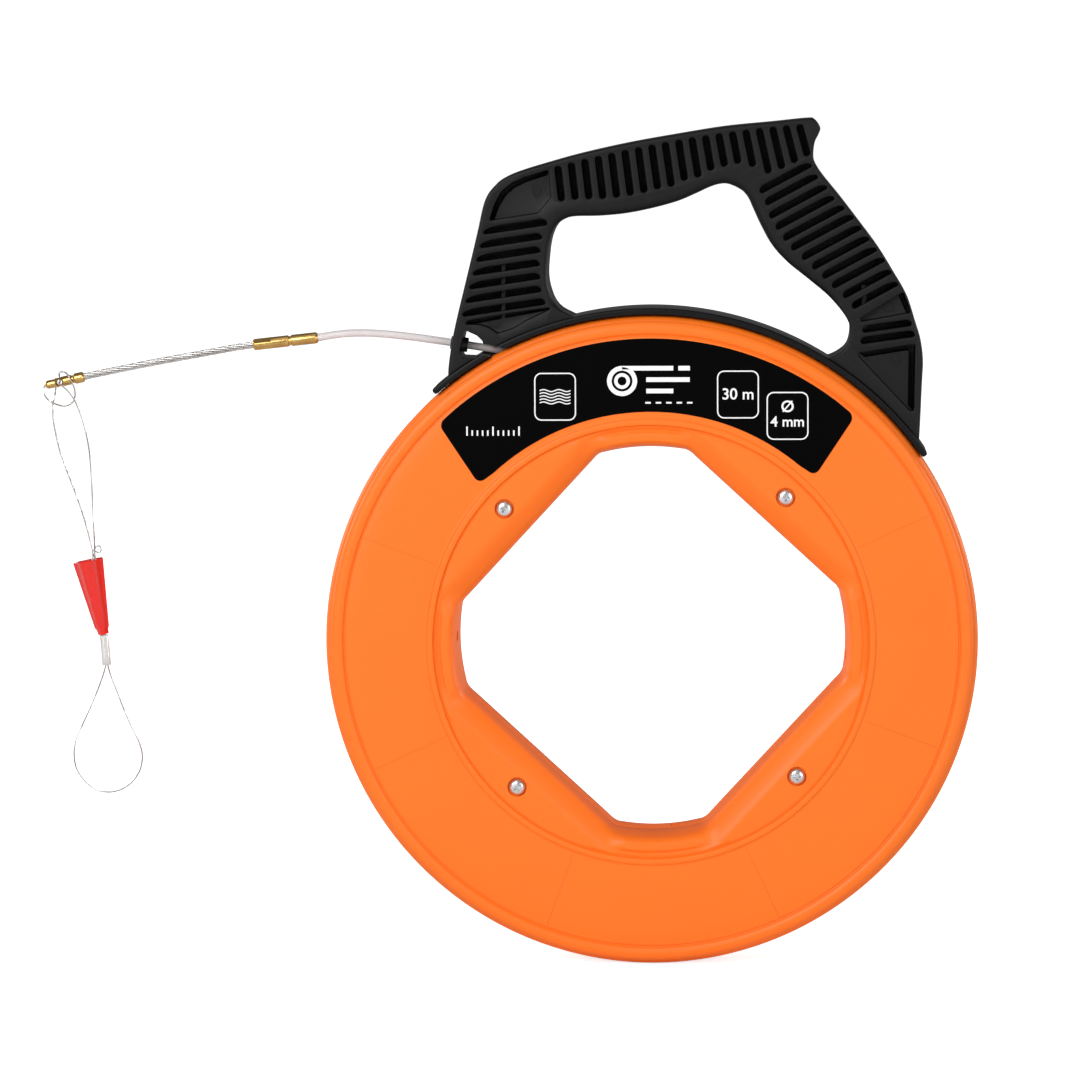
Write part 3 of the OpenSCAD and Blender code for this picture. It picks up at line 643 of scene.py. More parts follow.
def makeTip():
    bm = bmesh.new()
    length = tip["sleeve"]
    profile = roundedPath([(0, 0, 0), (1.85, 0, 0.1), (1.95, 0.5, 0.1), (2.45, 0.5, 0.3),
                           (2.8, 1.2, 0.3), (2.8, length - 1.0, 0.3), (2.3, length - 0.2, 0.2),
                           (2.1, length, 0), (0, length, 0)], 4, False)
    addTurned(bm, profile, alongLine(tipStart, tipLine), connector["sides"])
    sleeve = finishPiece(bm, "tipSleeve", "tape", "brass", ("tip_sleeve",), 28)

    bm = bmesh.new()
    shoulder = tip["eye"] + 2.4
    body = roundedPath([(0, length, 0), (2.1, length, 0), (2.1, length + 0.8, 0.2),
                        (2.6, length + 1.3, 0.3), (2.6, shoulder - 0.7, 0.5),
                        (2.2, shoulder, 0.5), (2.2, tip["length"] - 2.2, 0)], 4, False)
    addTurned(bm, body + arcPath(0, tip["length"] - 2.2, 2.2, 0, 90, 9), None, connector["sides"])
    wide = tip["eyeRadius"]
    hole = roundedPath([(0, -4, 0), (wide + 1.6, -4, 0), (wide + 0.9, -2.4, 0.6), (wide, -1.5, 0.8),
                        (wide, 1.5, 0.8), (wide + 0.9, 2.4, 0.6), (wide + 1.6, 4, 0), (0, 4, 0)],
                       4, False)
    # a rounded eye one way, a plain cross hole the other
    for outline, axis in ((hole, "X"), ([(0, -4), (wide, -4), (wide, 4), (0, 4)], "Y")):
        tool = bmesh.new()
        addTurned(tool, outline, Matrix.Translation((0, 0, tip["eye"]))
                  @ Matrix.Rotation(math.radians(90), 4, axis), 40)
        bm = combine(bm, tool)
    nose = finishPiece(bm, "eyeTip", "tape", "brass", ("eye_tip",), 30, alongLine(tipStart, tipLine))
    return sleeve, nose


ferruleTop = Vector((-288.6, 1.4, 0))
ferruleFoot = Vector((-287.5, -14.6, 0))
coneFoot = Vector((-288.9, 1.9, 0))
coneTop = Vector((-296.3, 41, 0))
ferrule = {"barrel": 1.25, "apart": 1.1, "steps": 16, "open": 128}
knot = {"x": -293.6, "y": 39.5, "rise": 0.55, "radius": 0.75, "turn": 0.9, "points": 15, "wire": 0.4,
        "curl": [(-292.2, 48.2, 0.7), (-290.6, 48.6, 0.6), (-289.6, 47.2, 0.5),
                 (-289.9, 45.6, 0.4), (-291.3, 45.1, 0.4), (-292.4, 46, 0.6)]}


def makeFerrule():
    # two drawn barrels with a waist between them, pressed shut
    line = ferruleFoot - ferruleTop
    length = line.length
    bm = bmesh.new()
    rings = []
    steps = ferrule["steps"]
    for along, shrink in ((0, 0.22), (0.12, 0.08), (0.4, 0.0), (length / 3, 0.03), (length / 2, 0.0),
                          (2 * length / 3, 0.03), (length - 0.4, 0.0), (length - 0.12, 0.08),
                          (length, 0.22)):
        ring = []
        for side in (1, -1):
            for k in range(steps + 1):
                turn = math.radians(ferrule["open"] * (2 * k / steps - 1)) \
                    + (0 if side > 0 else math.pi)
                wide = ferrule["barrel"] - shrink
                ring.append(Vector((ferrule["apart"] * side + wide * math.cos(turn),
                                    wide * math.sin(turn), along)))
        rings.append(ring)
    addLoft(bm, rings)
    return finishPiece(bm, "crimpFerrule", "lanyard", "ferruleMetal", ("crimp_ferrule",), 40,
                       alongLine(ferruleTop, line))


def fluteRing(radius, z, depth=0.2):
    flutes, steps = coneWall["flutes"], coneWall["steps"]
    return [polar(radius * (1 - depth * abs(math.sin(math.pi * k / steps)) ** 0.8),
                  360 * k / (flutes * steps), z) for k in range(flutes * steps)]


def makeCone():
    line = coneTop - coneFoot
    length = line.length
    foot, top, nose = coneWall["foot"], coneWall["top"], coneWall["nose"]
    thick, hole = coneWall["thick"], coneWall["hole"]
    bm = bmesh.new()
    rings = [fluteRing(hole + 0.5, 0.25, 0.0), fluteRing(hole + 1.0, 0.0, 0.02),
             fluteRing(foot - 0.5, nose * 0.55, 0.1), fluteRing(foot + 0.4, nose)]
    for share in (0.25, 0.5, 0.75):
        rings.append(fluteRing(foot + 0.4 + (top - foot - 0.4) * share,
                               nose + (length - nose) * share, 0.16))
    rings += [fluteRing(top - 0.06, length - 0.25, 0.17), fluteRing(top - 0.3, length, 0.17),
              fluteRing(top - thick * 0.8, length, 0.18), fluteRing(top - thick, length - 0.3, 0.18),
              fluteRing(foot - 0.5, nose + 3, 0.1), fluteRing(hole, nose, 0.0),
              fluteRing(hole, 0.5, 0.0)]
    addLoft(bm, rings + [rings[0]], joined=True)
    turn = Matrix.Rotation(math.radians(10), 4, "Z")
    return finishPiece(bm, "pullCone", "cone", "redPlastic", ("pull_cone",), 24,
                       alongLine(coneFoot, line) @ turn)


def makeKnot():
    # the wires cross in a short twist above the cone and leave a small curl
    bm = bmesh.new()
    x, y, radius, turn = (knot[key] for key in ("x", "y", "radius", "turn"))
    route = [(x + radius * math.cos(t * turn), y + knot["rise"] * t, radius * math.sin(t * turn))
             for t in range(knot["points"])]
    points = evenRoute(route + knot["curl"], 0.5)
    addStrand(bm, points, routeFrames(points), knot["wire"], 0.0, 5.0, 0.0, 10)
    return finishPiece(bm, "lanyardTwist", "cone", "wireSteel", (), 60)


def makeCords():
    tape, tapeLength = makeTape()
    rod, leaderEnd = makeConnectors()
    leader, leaderPoints = makeTwisted("leaderRope", leaderRoute, "tape", rope, "leader_rope")
    sleeve, nose = makeTip()
    wire, wirePoints = makeTwisted("lanyardWire", lanyardRoute, "lanyard", lanyard, "lanyard_wire")
    loop, loopPoints = makeTwisted("lanyardLoop", loopRoute, "lanyard", lanyard, "lanyard_loop")
    crimp = makeFerrule()
    cone = makeCone()
    twist = makeKnot()
    print("cords", round(tapeLength, 4), *(round(routeLength(p) / 1000, 4)
                                            for p in (leaderPoints, wirePoints, loopPoints)))


makeCords()


case = {"segments": 480, "face": 22.0, "arc": 101.0, "corner": 2.4, "screwCircle": 103.3,
        "screwAngles": (45, 135, 225, 315), "windowHalf": 2.5, "tongueHalf": 3.4}
frontWindows = ((176.5, 9), (-6.5, 9))
rearWindows = ((85.5, 11),)


def hubRadius(angle, flat, arc):
    # four flats between four arcs, with soft corners
    side = flat / math.cos(math.radians((angle % 90) - 45))
    soft = case["corner"]
    mix = min(1.0, max(0.0, 0.5 + 0.5 * (arc - side) / soft))
    return arc * (1 - mix) + side * mix - soft * mix * (1 - mix) * 0.5


def hubRing(flat, arc, z, arcZ=None):
    ring = []
    for k in range(case["segments"]):
        angle = 360 * k / case["segments"]
        off = abs((angle % 90) - 45)
        share = min(1.0, max(0.0, (off - 27) / 9))
        share = share * share * (3 - 2 * share)
        height = z if arcZ is None else z + (arcZ - z) * share
        ring.append(polar(hubRadius(angle, flat, arc), angle, height))
    return ring


def roundRing(radius, z):
    return [polar(radius, 360 * k / case["segments"], z) for k in range(case["segments"])]


def rimProfile():
    # from inside the rim's slot, round the two beads and over the ring to the hub
    made = [(166.5, 3.0), (169.6, 3.0), (169.9, 3.12), (170.0, 3.4), (170.0, 9.0)]
    made += [tuple(p) for p in arcPath(165, 14, 5, 0, 58, 9)]
    made += [(167.3, 18.3), (167.1, 18.45)]
    made += [tuple(p) for p in arcPath(163.5, 18.5, 4.5, 30, 124, 14)]
    made += [(160.6, 21.75), (160.35, 21.3), (160.0, 21.15), (159.65, 21.3), (159.4, 21.85),
             (158.9, 22.0), (150.0, 22.0), (135.0, 22.0), (118.4, 22.0), (117.4, 21.95),
             (117.1, 22.1), (116.75, 22.6), (116.3, 22.9), (115.6, 23.0), (114.6, 23.0),
             (113.9, 22.85), (113.55, 22.4), (113.4, 21.7), (113.1, 21.3), (112.8, 21.3),
             (112.5, 21.6)]
    return made


def addShell(front):
    rings = [roundRing(r, z) for r, z in rimProfile()]
    if front:
        outlines = [(99.4, 111.9, 22.0, 21.2), (98.2, 111.4, 21.98, 20.6), (97.0, 110.9, 21.8, 20.4),
                    (95.6, 110.2, 21.2, 20.7), (94.0, 109.4, 20.3, 21.4), (92.2, 107.6, 19.1, 21.7),
                    (90.4, 105.4, 17.8, 21.4), (88.9, 104.0, 16.5, 20.2), (87.8, 103.0, 15.2, 17.8),
                    (87.1, 102.3, 13.8, 14.6), (86.75, 101.85, 12.0, 12.2), (86.45, 101.45, 8.0, 8.0)]
    else:
        outlines = [(89.6, 104.6, 22.0, 22.0), (88.6, 103.6, 21.9, 21.9), (87.7, 102.7, 21.55, 21.55),
                    (87.0, 102.0, 20.9, 20.9), (86.6, 101.6, 20.0, 20.0), (86.45, 101.45, 14.0, 14.0)]
    rings += [hubRing(*outline) for outline in outlines]
    rings += [hubRing(86.05, 101.05, 0.45), hubRing(86.15, 101.15, 0.2), hubRing(86.6, 101.6, 0.0),
              hubRing(88.5, 103.5, 0.0)]
    if front:
        rings += [hubRing(88.9, 103.9, 12.0), hubRing(90.0, 105.0, 14.8), hubRing(93.5, 108.0, 17.0),
                  hubRing(98.0, 111.0, 18.2)]
    else:
        rings += [hubRing(88.9, 103.9, 19.0)]
    rings += [roundRing(113.5, 19.3), roundRing(113.5, 0.0), roundRing(116.5, 0.0),
              roundRing(116.5, 19.5), roundRing(166.5, 19.5)]
    bm = bmesh.new()
    addLoft(bm, rings + [rings[0]], joined=True)
    return bm


def addWindows(bm, windows):
    half, arc = case["windowHalf"], case["arc"]
    for angle, z in windows:
        addBox(bm, (arc - 5, -half, z - half), (arc + 6, half, z + half),
               Matrix.Rotation(math.radians(angle), 4, "Z"), 0.3)


def makeCase():
    cutter = bmesh.new()
    profile = [(0, 20.1), (4.85, 20.1), (5.0, 20.25), (5.0, 21.6), (5.12, 21.85), (5.5, 22.1),
               (5.5, 24), (0, 24)]
    for angle in case["screwAngles"]:
        addTurned(cutter, profile, Matrix.Translation(polar(case["screwCircle"], angle)), 48)
    addWindows(cutter, frontWindows)
    bm = combine(addShell(True), cutter)
    finishPiece(bm, "frontShell", "case", "orangePlastic", ("front_shell",), 30, caseTurn)

    cutter = bmesh.new()
    addWindows(cutter, rearWindows)
    bm = combine(addShell(False), cutter)
    turnOver = caseTurn @ Matrix.Rotation(math.pi, 4, "X")
    finishPiece(bm, "rearShell", "case", "orangePlastic", ("rear_shell",), 30, turnOver)


def makeLatches():
    # the tongues of the snap catches, seen through the latch windows; their orange is painted dark red
    # as painted shade for the shadow inside the case
    bm = bmesh.new()
    half = case["tongueHalf"]
    for angle, z in frontWindows + tuple((-angle, -z) for angle, z in rearWindows):
        addBox(bm, (104.4, -half, z - half), (105.6, half, z + half),
               Matrix.Rotation(math.radians(angle), 4, "Z"), 0.2)
    finishPiece(bm, "latchTongues", "case", "latchPaintedShade", (), 30, caseTurn)


def makeScrews():
    bm = bmesh.new()
    head = roundedPath([(0, -32, 0), (1.6, -32, 0), (2.0, -31, 0), (2.0, 0, 0), (3.9, 0, 0.1),
                        (4.1, 0.35, 0.2), (4.0, 1.3, 0.6), (3.1, 2.3, 1.2), (1.6, 2.6, 1.5),
                        (0, 2.62, 0)], 5, False)
    crosses = (bmesh.new(), bmesh.new())
    for angle in case["screwAngles"]:
        place = Matrix.Translation(polar(case["screwCircle"], angle, case["face"] - 1.2))
        addTurned(bm, head, place, 48)
        for cross, quarter in zip(crosses, (12, 102)):
            turn = Matrix.Rotation(math.radians(angle * 1.7 + quarter), 4, "Z")
            addBox(cross, (-2.5, -0.52, 0.7), (2.5, 0.52, 3.4), place @ turn, 0, 0.45)
    for cross in crosses:
        bm = combine(bm, cross)
    finishPiece(bm, "caseScrews", "case", "screwSteel", ("case_screws",), 30, caseTurn)


coil = {"layers": 4, "turns": 9, "inner": 120.2, "rise": 3.95, "low": -16.0, "tape": 1.97}


def makeCoil():
    # turns of tape side by side in layers
    bm = bmesh.new()
    for layer in range(coil["layers"]):
        for turn in range(coil["turns"]):
            radius = coil["inner"] + coil["rise"] * layer
            z = coil["low"] + tapeDiameter * turn + (0.0 if layer % 2 else 0.4)
            section = [Vector((radius, z)) + polar(coil["tape"], 45 * k + 22.5).to_2d()
                       for k in range(8)]
            addTurned(bm, section, None, 96, True)
    finishPiece(bm, "woundTape", "case", "glassFibre", ("tape_coil",), 60)


makeCase()
makeLatches()
makeScrews()
makeCoil()


label = {"thick": 0.3, "inner": 120.5, "outer": 158.5, "middle": 91.0, "half": 42.85,
         "slant": 56.5, "outerCorner": 4.5, "innerCorner": 3.6, "cornerReach": 9,
         "soft": 0.08}


def labelOutline():
    steps = 60
    left, right = label["middle"] + label["half"], label["middle"] - label["half"]
    slant = label["slant"]
    ends = []
    for angle, lean in ((right, slant), (left, 180 - slant)):
        outer = polar(label["outer"], angle)
        direction = polar(1, lean)
        # where the slanted end meets the inner edge
        b = outer.dot(direction)
        c = outer.length_squared - (label["inner"] + 1.5) ** 2
        ends.append(outer - direction * (b - math.sqrt(b * b - c)))
    innerRight, innerLeft = ends
    innerFrom = math.degrees(math.atan2(innerLeft.y, innerLeft.x))
    innerTo = math.degrees(math.atan2(innerRight.y, innerRight.x))
    made = [(*polar(label["outer"], right + (left - right) * k / steps).to_2d(),
             label["outerCorner"] if k in (0, steps) else 0) for k in range(steps + 1)]
    made += [(*polar(label["inner"] + (1.5 if k in (0, steps) else 0),
                     innerFrom + (innerTo - innerFrom) * k / steps).to_2d(),
              label["innerCorner"] if k in (0, steps) else 0) for k in range(steps + 1)]
    return roundedCorners(made)


def roundedCorners(corners):
    # rounds the marked corners, taking out the short pieces next to them
    marked = [Vector((x, y)) for x, y, radius in corners if radius]
    made = []
    for x, y, radius in corners:
        near = [p for p in marked if (p - Vector((x, y))).length < label["cornerReach"]]
        if radius or not near:
            made.append((x, y, radius))
    return roundedPath(made, 8)


def makeLabel():
    bm = bmesh.new()
    face, thick, soft = case["face"] + 0.02, label["thick"], label["soft"]
    flat = [Vector((p.x, p.y, 0)) for p in labelOutline()]
    middle = polar(140, label["middle"])
    rings = [[p + Vector((0, 0, z)) + (middle - p).normalized() * inset for p in flat]
             for z, inset in ((face, 0.0), (face + thick - soft, 0.0), (face + thick, soft))]
    addLoft(bm, rings)
    finishPiece(bm, "labelFilm", "case", "labelFilm", ("front_label",), 30)


def addStroke(bm, points, width, z, closed=False):
    # one flat line of ink
    line = bpy.data.curves.new("stroke", "CURVE")
    line.dimensions = "3D"
    spline = line.splines.new("POLY")
    spline.points.add(len(points) - 1)
    for target, point in zip(spline.points, points):
        target.co = (point[0], point[1], 0, 1)
    spline.use_cyclic_u = closed
    line.bevel_depth = width / 2
    line.bevel_resolution = 1
    line.use_fill_caps = not closed
    addCurve(bm, line, Matrix.Translation((0, 0, z)) @ Matrix.Diagonal((1, 1, 0.1 / width, 1)))


def addCurve(bm, line, place):
    # a line of ink or a word, made a mesh and put in its place
    obj = newObject("stroke", line)
    mesh = finalMesh(obj)
    mesh.transform(place)
    bm.from_mesh(mesh)
    bpy.data.objects.remove(obj)
    bpy.data.meshes.remove(mesh)


def addText(bm, words, size, x, y, z):
    line = bpy.data.curves.new("words", "FONT")
    line.body = words
    line.size = size
    line.align_x = "CENTER"
    line.align_y = "CENTER"
    line.extrude = 0.05
    line.offset = marks["bold"]
    addCurve(bm, line, Matrix.Translation((x, y, z)))


marks = {"boxes": ((-49.2, 128.4), (45.4, 129.4), (71.0, 118.3)), "width": 21.0, "height": 24.2,
         "corner": 3.4, "line": 0.65, "bold": 0.1, "waves": 5, "coil": (-14.5, 136.5),
         "bars": ((-14.5, 12.0, 143.1), (-2.0, 20.5, 137.2), (-2.0, 12.0, 131.3), (14.6, 20.6, 143.1)),
         "bar": 2.4, "dashes": 5, "ticks": 11}


def makeMarks():
    bm = bmesh.new()
    z = case["face"] + label["thick"] + 0.05
    w, h, corner = marks["width"] / 2, marks["height"] / 2, marks["corner"]
    for x, y in marks["boxes"]:
        outline = roundedPath([(x - w, y - h, corner), (x + w, y - h, corner),
                               (x + w, y + h, corner), (x - w, y + h, corner)], 6)
        addStroke(bm, outline, marks["line"], z, True)
    # strands in the first box, a length and a thickness in the others
    x, y = marks["boxes"][0]
    for i in range(marks["waves"]):
        top = y + 3.2 - 1.6 * i
        wave = [(x - 8 + 16 * k / 16, top + 0.55 * math.sin(2 * math.pi * k / 8)) for k in range(17)]
        addStroke(bm, wave, 0.55, z)
    x, y = marks["boxes"][1]
    addText(bm, "30 m", 8.2, x, y, z)
    x, y = marks["boxes"][2]
    addText(bm, "Ø", 8.4, x, y + 4.6, z)
    addText(bm, "4 mm", 7.6, x, y - 3.2, z)
    # a plain coil with bars and dashes beside it
    x, y = marks["coil"]
    for radius, width in ((6.6, marks["bar"]), (3.2, marks["bar"] - 0.6)):
        circle = [(x + radius * math.cos(math.pi * k / 24), y + radius * math.sin(math.pi * k / 24))
                  for k in range(48)]
        addStroke(bm, circle, width, z, True)
    for start, end, y in marks["bars"]:
        addStroke(bm, [(start, y), (end, y)], marks["bar"], z)
    for i in range(marks["dashes"]):
        addStroke(bm, [(-2.5 + 5.4 * i, 125.2), (0.3 + 5.4 * i, 125.2)], 0.9, z)
    # a row of plain ticks, every fifth one longer
    for i in range(marks["ticks"]):
        tall = 4.8 if i % 5 == 0 else 2.8
        addStroke(bm, [(-95.0 + 2.7 * i, 108.2), (-95.0 + 2.7 * i, 108.2 + tall)], 0.8, z)
    finishPiece(bm, "labelPrint", "case", "labelInk", (), 60)


makeLabel()
makeMarks()


handleOutline = [(-103, 132), (-105, 140), (-103.5, 153.5), (-101, 167), (-95.5, 190.5),
                 (-90, 214), (-87, 228), (-84.5, 234.5), (-81, 239), (-76.5, 243), (-68.5, 246.5),
                 (-54, 251), (-36, 256), (-13, 261.2), (9.5, 265.3), (38.5, 270), (64, 272.5),
                 (82, 274.3), (86, 273.6), (88.8, 269.5), (87.8, 265.8), (85.8, 261.5),
                 (85.1, 254.5), (86.3, 250), (90, 244), (99, 232.5), (109, 219), (119, 205),
                 (127, 191.5), (133, 180.5), (137, 167.5), (139.8, 157.5), (141, 146.5),
                 (140.5, 134.5), (139, 104.5), (137, 98)]
fingerOutline = [(-36, 168), (-41, 170.5), (-47, 174), (-51, 180), (-53.5, 190), (-53, 202),
                 (-51.5, 211.5), (-48.5, 218), (-44, 221.5), (-38.5, 222.8), (-26.5, 223),
                 (-13, 224.2), (0.5, 226.8), (14, 230.5), (23.5, 234.5), (30.5, 237.8), (36, 239.6),
                 (41, 239.6), (47.5, 236.5), (51, 232.5), (53.5, 227), (57.5, 218), (63.5, 207),
                 (71.5, 198), (82, 189.3), (92, 180.7), (99.5, 172), (103, 165.5), (103.3, 160),
                 (101.8, 154.5), (98.5, 151), (93, 148), (86, 146)]
grip = {"half": 17.0, "web": 1.5, "slot": 3.4, "lip": 0.75, "pocket": 4.0, "trench": 11.0,
        "band": 174.02, "draw": 0.0107, "outerRound": 1.7, "hornRound": 1.7, "backRound": 2.4,
        "fingerRound": 4.4, "heelRound": 1.2, "footRound": 0.3}
legSlots = [32, 31, 32, 33.5, 35.5, 38, 42]
barSlots = [17.5, 18.5, 20, 21.5, 22.5, 23, 23, 22.5, 22.5, 20.5, 20, 17.5, 16.5, 16, 18.5, 23,
            21.5, 19, 16]
armSlots = [(57.6, 236.3, 29), (60.4, 230, 29.5), (62.5, 223, 32.5), (65.8, 217, 33),
            (69.7, 211.2, 34.5), (73.8, 206, 35), (79.3, 201, 33.5), (84.6, 196, 32),
            (89.8, 191, 30.5), (94.8, 186, 29.5), (100.4, 180.8, 27), (105, 175.2, 25.5)]
footSlots = [(110.5, 163, 24), (109.5, 157, 26.5)]
# corners are (along, up) sizes: lower left, lower right, upper right, upper left
slotKinds = {
    "leg": {"lean": 8.5, "less": 2, "corners": ((1.4, 1.2), (0.9, 0.9), (3.6, 2.4), (9.5, 2.5))},
    "bar": {"lean": -83.5, "less": 2.4, "corners": ((1.6, 1.6),) * 4},
    "arm": {"lean": 28.5, "less": 2.4, "corners": ((1.3, 1.3), (0.9, 0.9), (6.5, 2.4), (3.0, 2.2))},
    "foot": {"lean": 8, "less": 2, "corners": ((1.3, 1.3), (1.0, 1.0), (3.0, 2.2), (3.0, 2.2))}}
exitWindow = [(-96.6, 163.0, 1.0), (-90.0, 160.0, 1.5), (-87.0, 157.0, 2.0), (-85.8, 151.0, 1.0),
              (-88.5, 147.6, 0.6), (-98.0, 148.0, 0.8), (-99.4, 150.8, 0.6)]
tapeWay = {"angle": 81.2, "radius": 137.5, "bore": 2.5, "channel": ((94, -2.9, -2.2), (113, 2.9, 30))}
pinMarks = ((-59.0, 236.5), (-81.0, 166.4), (123.6, 174.3), (127.0, 147.2))
ribBoxes = ((-77.4, 160.5, -75.4, 198.0), (109.6, 163.0, 112.0, 186.0))  # left, foot, right, top


def clipped(points):
    # the part of a contour outside the band, from where it leaves the band
    radius = grip["band"]
    made = []
    for a, b in zip(points, points[1:]):
        inA, inB = a.length < radius, b.length < radius
        if not inA:
            made.append(a)
        if inA != inB:
            low, high = (a, b) if inA else (b, a)
            for _ in range(24):
                middle = (low + high) / 2
                low, high = (middle, high) if middle.length < radius else (low, middle)
            made.append(high)
    return made


def handleLoop():
    # one closed outline, clockwise, with how far the edge is rounded at every point
    outer = clipped(smoothCurve(handleOutline, 5))
    finger = clipped(smoothCurve(fingerOutline, 5))[::-1]
    points, rounding = [], []

    def bandArc(start, end):
        a, b = (math.degrees(math.atan2(p.y, p.x)) for p in (start, end))
        count = max(2, round(abs(b - a) / 1.0))
        return [polar(grip["band"], a + (b - a) * k / count) for k in range(1, count)]

    for p in outer:
        points.append(p)
        if p.x > 76 and p.y > 240:
            rounding.append(grip["hornRound"])
        else:
            rounding.append(grip["backRound"] if p.x > 80 else grip["outerRound"])
    for p in bandArc(outer[-1], finger[0]):
        points.append(p)
        rounding.append(grip["footRound"])
    for p in finger:
        points.append(p)
        rounding.append(grip["fingerRound"] if p.y > 176 else grip["heelRound"])
    for p in bandArc(finger[-1], outer[0]):
        points.append(p)
        rounding.append(grip["footRound"])
    for _ in range(6):
        rounding = [(rounding[i - 1] + 2 * r + rounding[(i + 1) % len(rounding)]) / 4
                    for i, r in enumerate(rounding)]
    # the rounding fades towards the corners where the outline meets the band
    ends = (outer[0], outer[-1], finger[0], finger[-1])
    for i, p in enumerate(points):
        near = min((p - end).length for end in ends)
        rounding[i] = min(rounding[i], 0.25 + 0.3 * near)
        if abs(p.length - grip["band"]) < 0.5:
            rounding[i] = min(rounding[i], grip["footRound"])
    return points, rounding


def addGripBody():
    points, rounding = handleLoop()
    count = len(points)
    inward = []
    for i in range(count):
        ahead = points[(i + 1) % count] - points[i - 1]
        inward.append(Vector((ahead.y, -ahead.x, 0)).normalized())
    half = grip["half"]
    rings = []
    for side in (-1, 1):
        layer = []
        for t in range(7):
            turn = math.radians(15 * t)
            layer.append([p + n * r * (1 - math.cos(turn))
                          + Vector((0, 0, side * (half - r * 0.85 * (1 - math.sin(turn)))))
                          for p, n, r in zip(points, inward, rounding)])
        rings += layer[::-1] if side < 0 else layer
    middle = [[p + n * deep + Vector((0, 0, z)) for p, n in zip(points, inward)]
              for z, deep in ((-0.25, 0.0), (0.0, 0.12), (0.25, 0.0))]
    rings = rings[:7] + middle + rings[7:]
    bm = bmesh.new()
    addLoft(bm, rings)
    return bm


def slotRing(length, width, corners, grow, z):
    steps = 6
    half = width / 2
    made = []
    places = ((-half, -half, 180), (length + half, -half, 270), (length + half, half, 0),
              (-half, half, 90))
    for (x, y, turn), (a, b) in zip(places, corners):
        sx, sy = (1 if x > 0 else -1), (1 if y > 0 else -1)
        x, y = x + sx * grow, y + sy * grow
        a, b = a + grow, b + grow
        for k in range(steps + 1):
            angle = math.radians(turn + 90 * k / steps)
            made.append(Vector((x - sx * a + a * math.cos(angle), y - sy * b + b * math.sin(angle), z)))
    return made


def addSlot(bm, kind, start, length, side, turn=0.0):
    half, lip = grip["half"], grip["lip"]
    lean, less, corners = slotKinds[kind].values()
    place = Matrix.Translation((*start, 0)) @ Matrix.Rotation(math.radians(turn + lean), 4, "Z")
    rings = []
    for z, grow in ((grip["web"], 0.0), (half - lip, 0.0), (half - lip * 0.62, lip * 0.08),
                    (half - lip * 0.3, lip * 0.3), (half - lip * 0.08, lip * 0.65),
                    (half + 0.01, lip), (half + 1, lip)):
        rings.append([place @ p for p in slotRing(length - less, grip["slot"], corners, grow, z)])
    for ring in rings:
        for p in ring:
            p.z *= side
    addLoft(bm, rings)


def addPocket(bm, corners, depth, side, lip=0.5):
    half = grip["half"]
    outline = [Vector((p.x, p.y, 0)) for p in roundedPath(corners, 5)]
    count = len(outline)
    area = sum(a.x * b.y - b.x * a.y for a, b in zip(outline, outline[1:] + outline[:1]))
    turn = 1 if area > 0 else -1
    rings = []
    for z, grow in ((half - depth, -0.5), (half - depth + 0.15, -0.2), (half - depth + 0.5, 0.0),
                    (half - lip, 0.0), (half - lip * 0.3, lip * 0.3), (half + 0.01, lip),
                    (half + 1, lip * 2)):
        ring = []
        for i, p in enumerate(outline):
            ahead = (outline[(i + 1) % count] - outline[i - 1]).normalized()
            outward = Vector((ahead.y, -ahead.x, 0)) * turn
            ring.append(Vector((*(p + outward * grow).to_2d(), z * side)))
        rings.append(ring)
    addLoft(bm, rings)


shoulderPocket = [(-83.8, 220.6, 0.8), (-81.0, 229.5, 6), (-77.5, 236, 8), (-72.0, 240.6, 10),
                  (-65.0, 243.8, 10), (-52.6, 247.6, 1.0), (-51.6, 232.6, 1.2), (-58.2, 224.6, 1.2)]
shoulderTrench = [(-83.5, 221, 0.4), (-81.0, 229.5, 6), (-77.5, 236, 8), (-72.0, 240.6, 10),
                  (-65.0, 243.8, 10), (-52.9, 247.4, 0.4), (-53.4, 244.6, 0.4), (-64.4, 241.0, 8),
                  (-70.4, 238.0, 8), (-75.0, 234.0, 8), (-78.4, 228.4, 6), (-81.0, 221.4, 0.4)]
elbowPocket = [(108.0, 168.2, 0.9), (131.2, 182.6, 0.9), (135.2, 171.6, 1.2), (109.6, 166.9, 0.9)]
elbowTrench = [(128.6, 180.6, 0.4), (131.0, 182.2, 0.8), (134.9, 171.7, 1.0), (132.4, 171.2, 0.4)]
leftFootPocket = [(-96.6, 165.8, 1.2), (-94.5, 167.9, 1.2), (-71.5, 172.0, 6), (-49.2, 175.0, 1.2),
                  (-55.8, 171.8, 6), (-63.6, 168.2, 20), (-71.0, 163.6, 20), (-79.2, 161.0, 1.6),
                  (-84.2, 164.4, 8), (-89.0, 165.8, 8)]
leftFootTrench = [(-96.4, 165.9, 0.8), (-94.5, 167.9, 1.0), (-71.5, 172.0, 6), (-49.8, 175.0, 0.8),
                  (-56.0, 172.6, 0.4), (-71.5, 169.6, 6), (-90.0, 166.2, 0.4)]
rightFootPocket = [(106.2, 150.2, 1.0), (137.0, 155.2, 1.2), (136.4, 118.0, 1.6)]
rightFootTrench = [(107.5, 150.7, 0.4), (136.8, 155.0, 1.0), (136.2, 119.5, 0.4), (133.2, 123.4, 0.4),
                   (133.6, 151.6, 0.8), (111.0, 148.0, 0.4)]


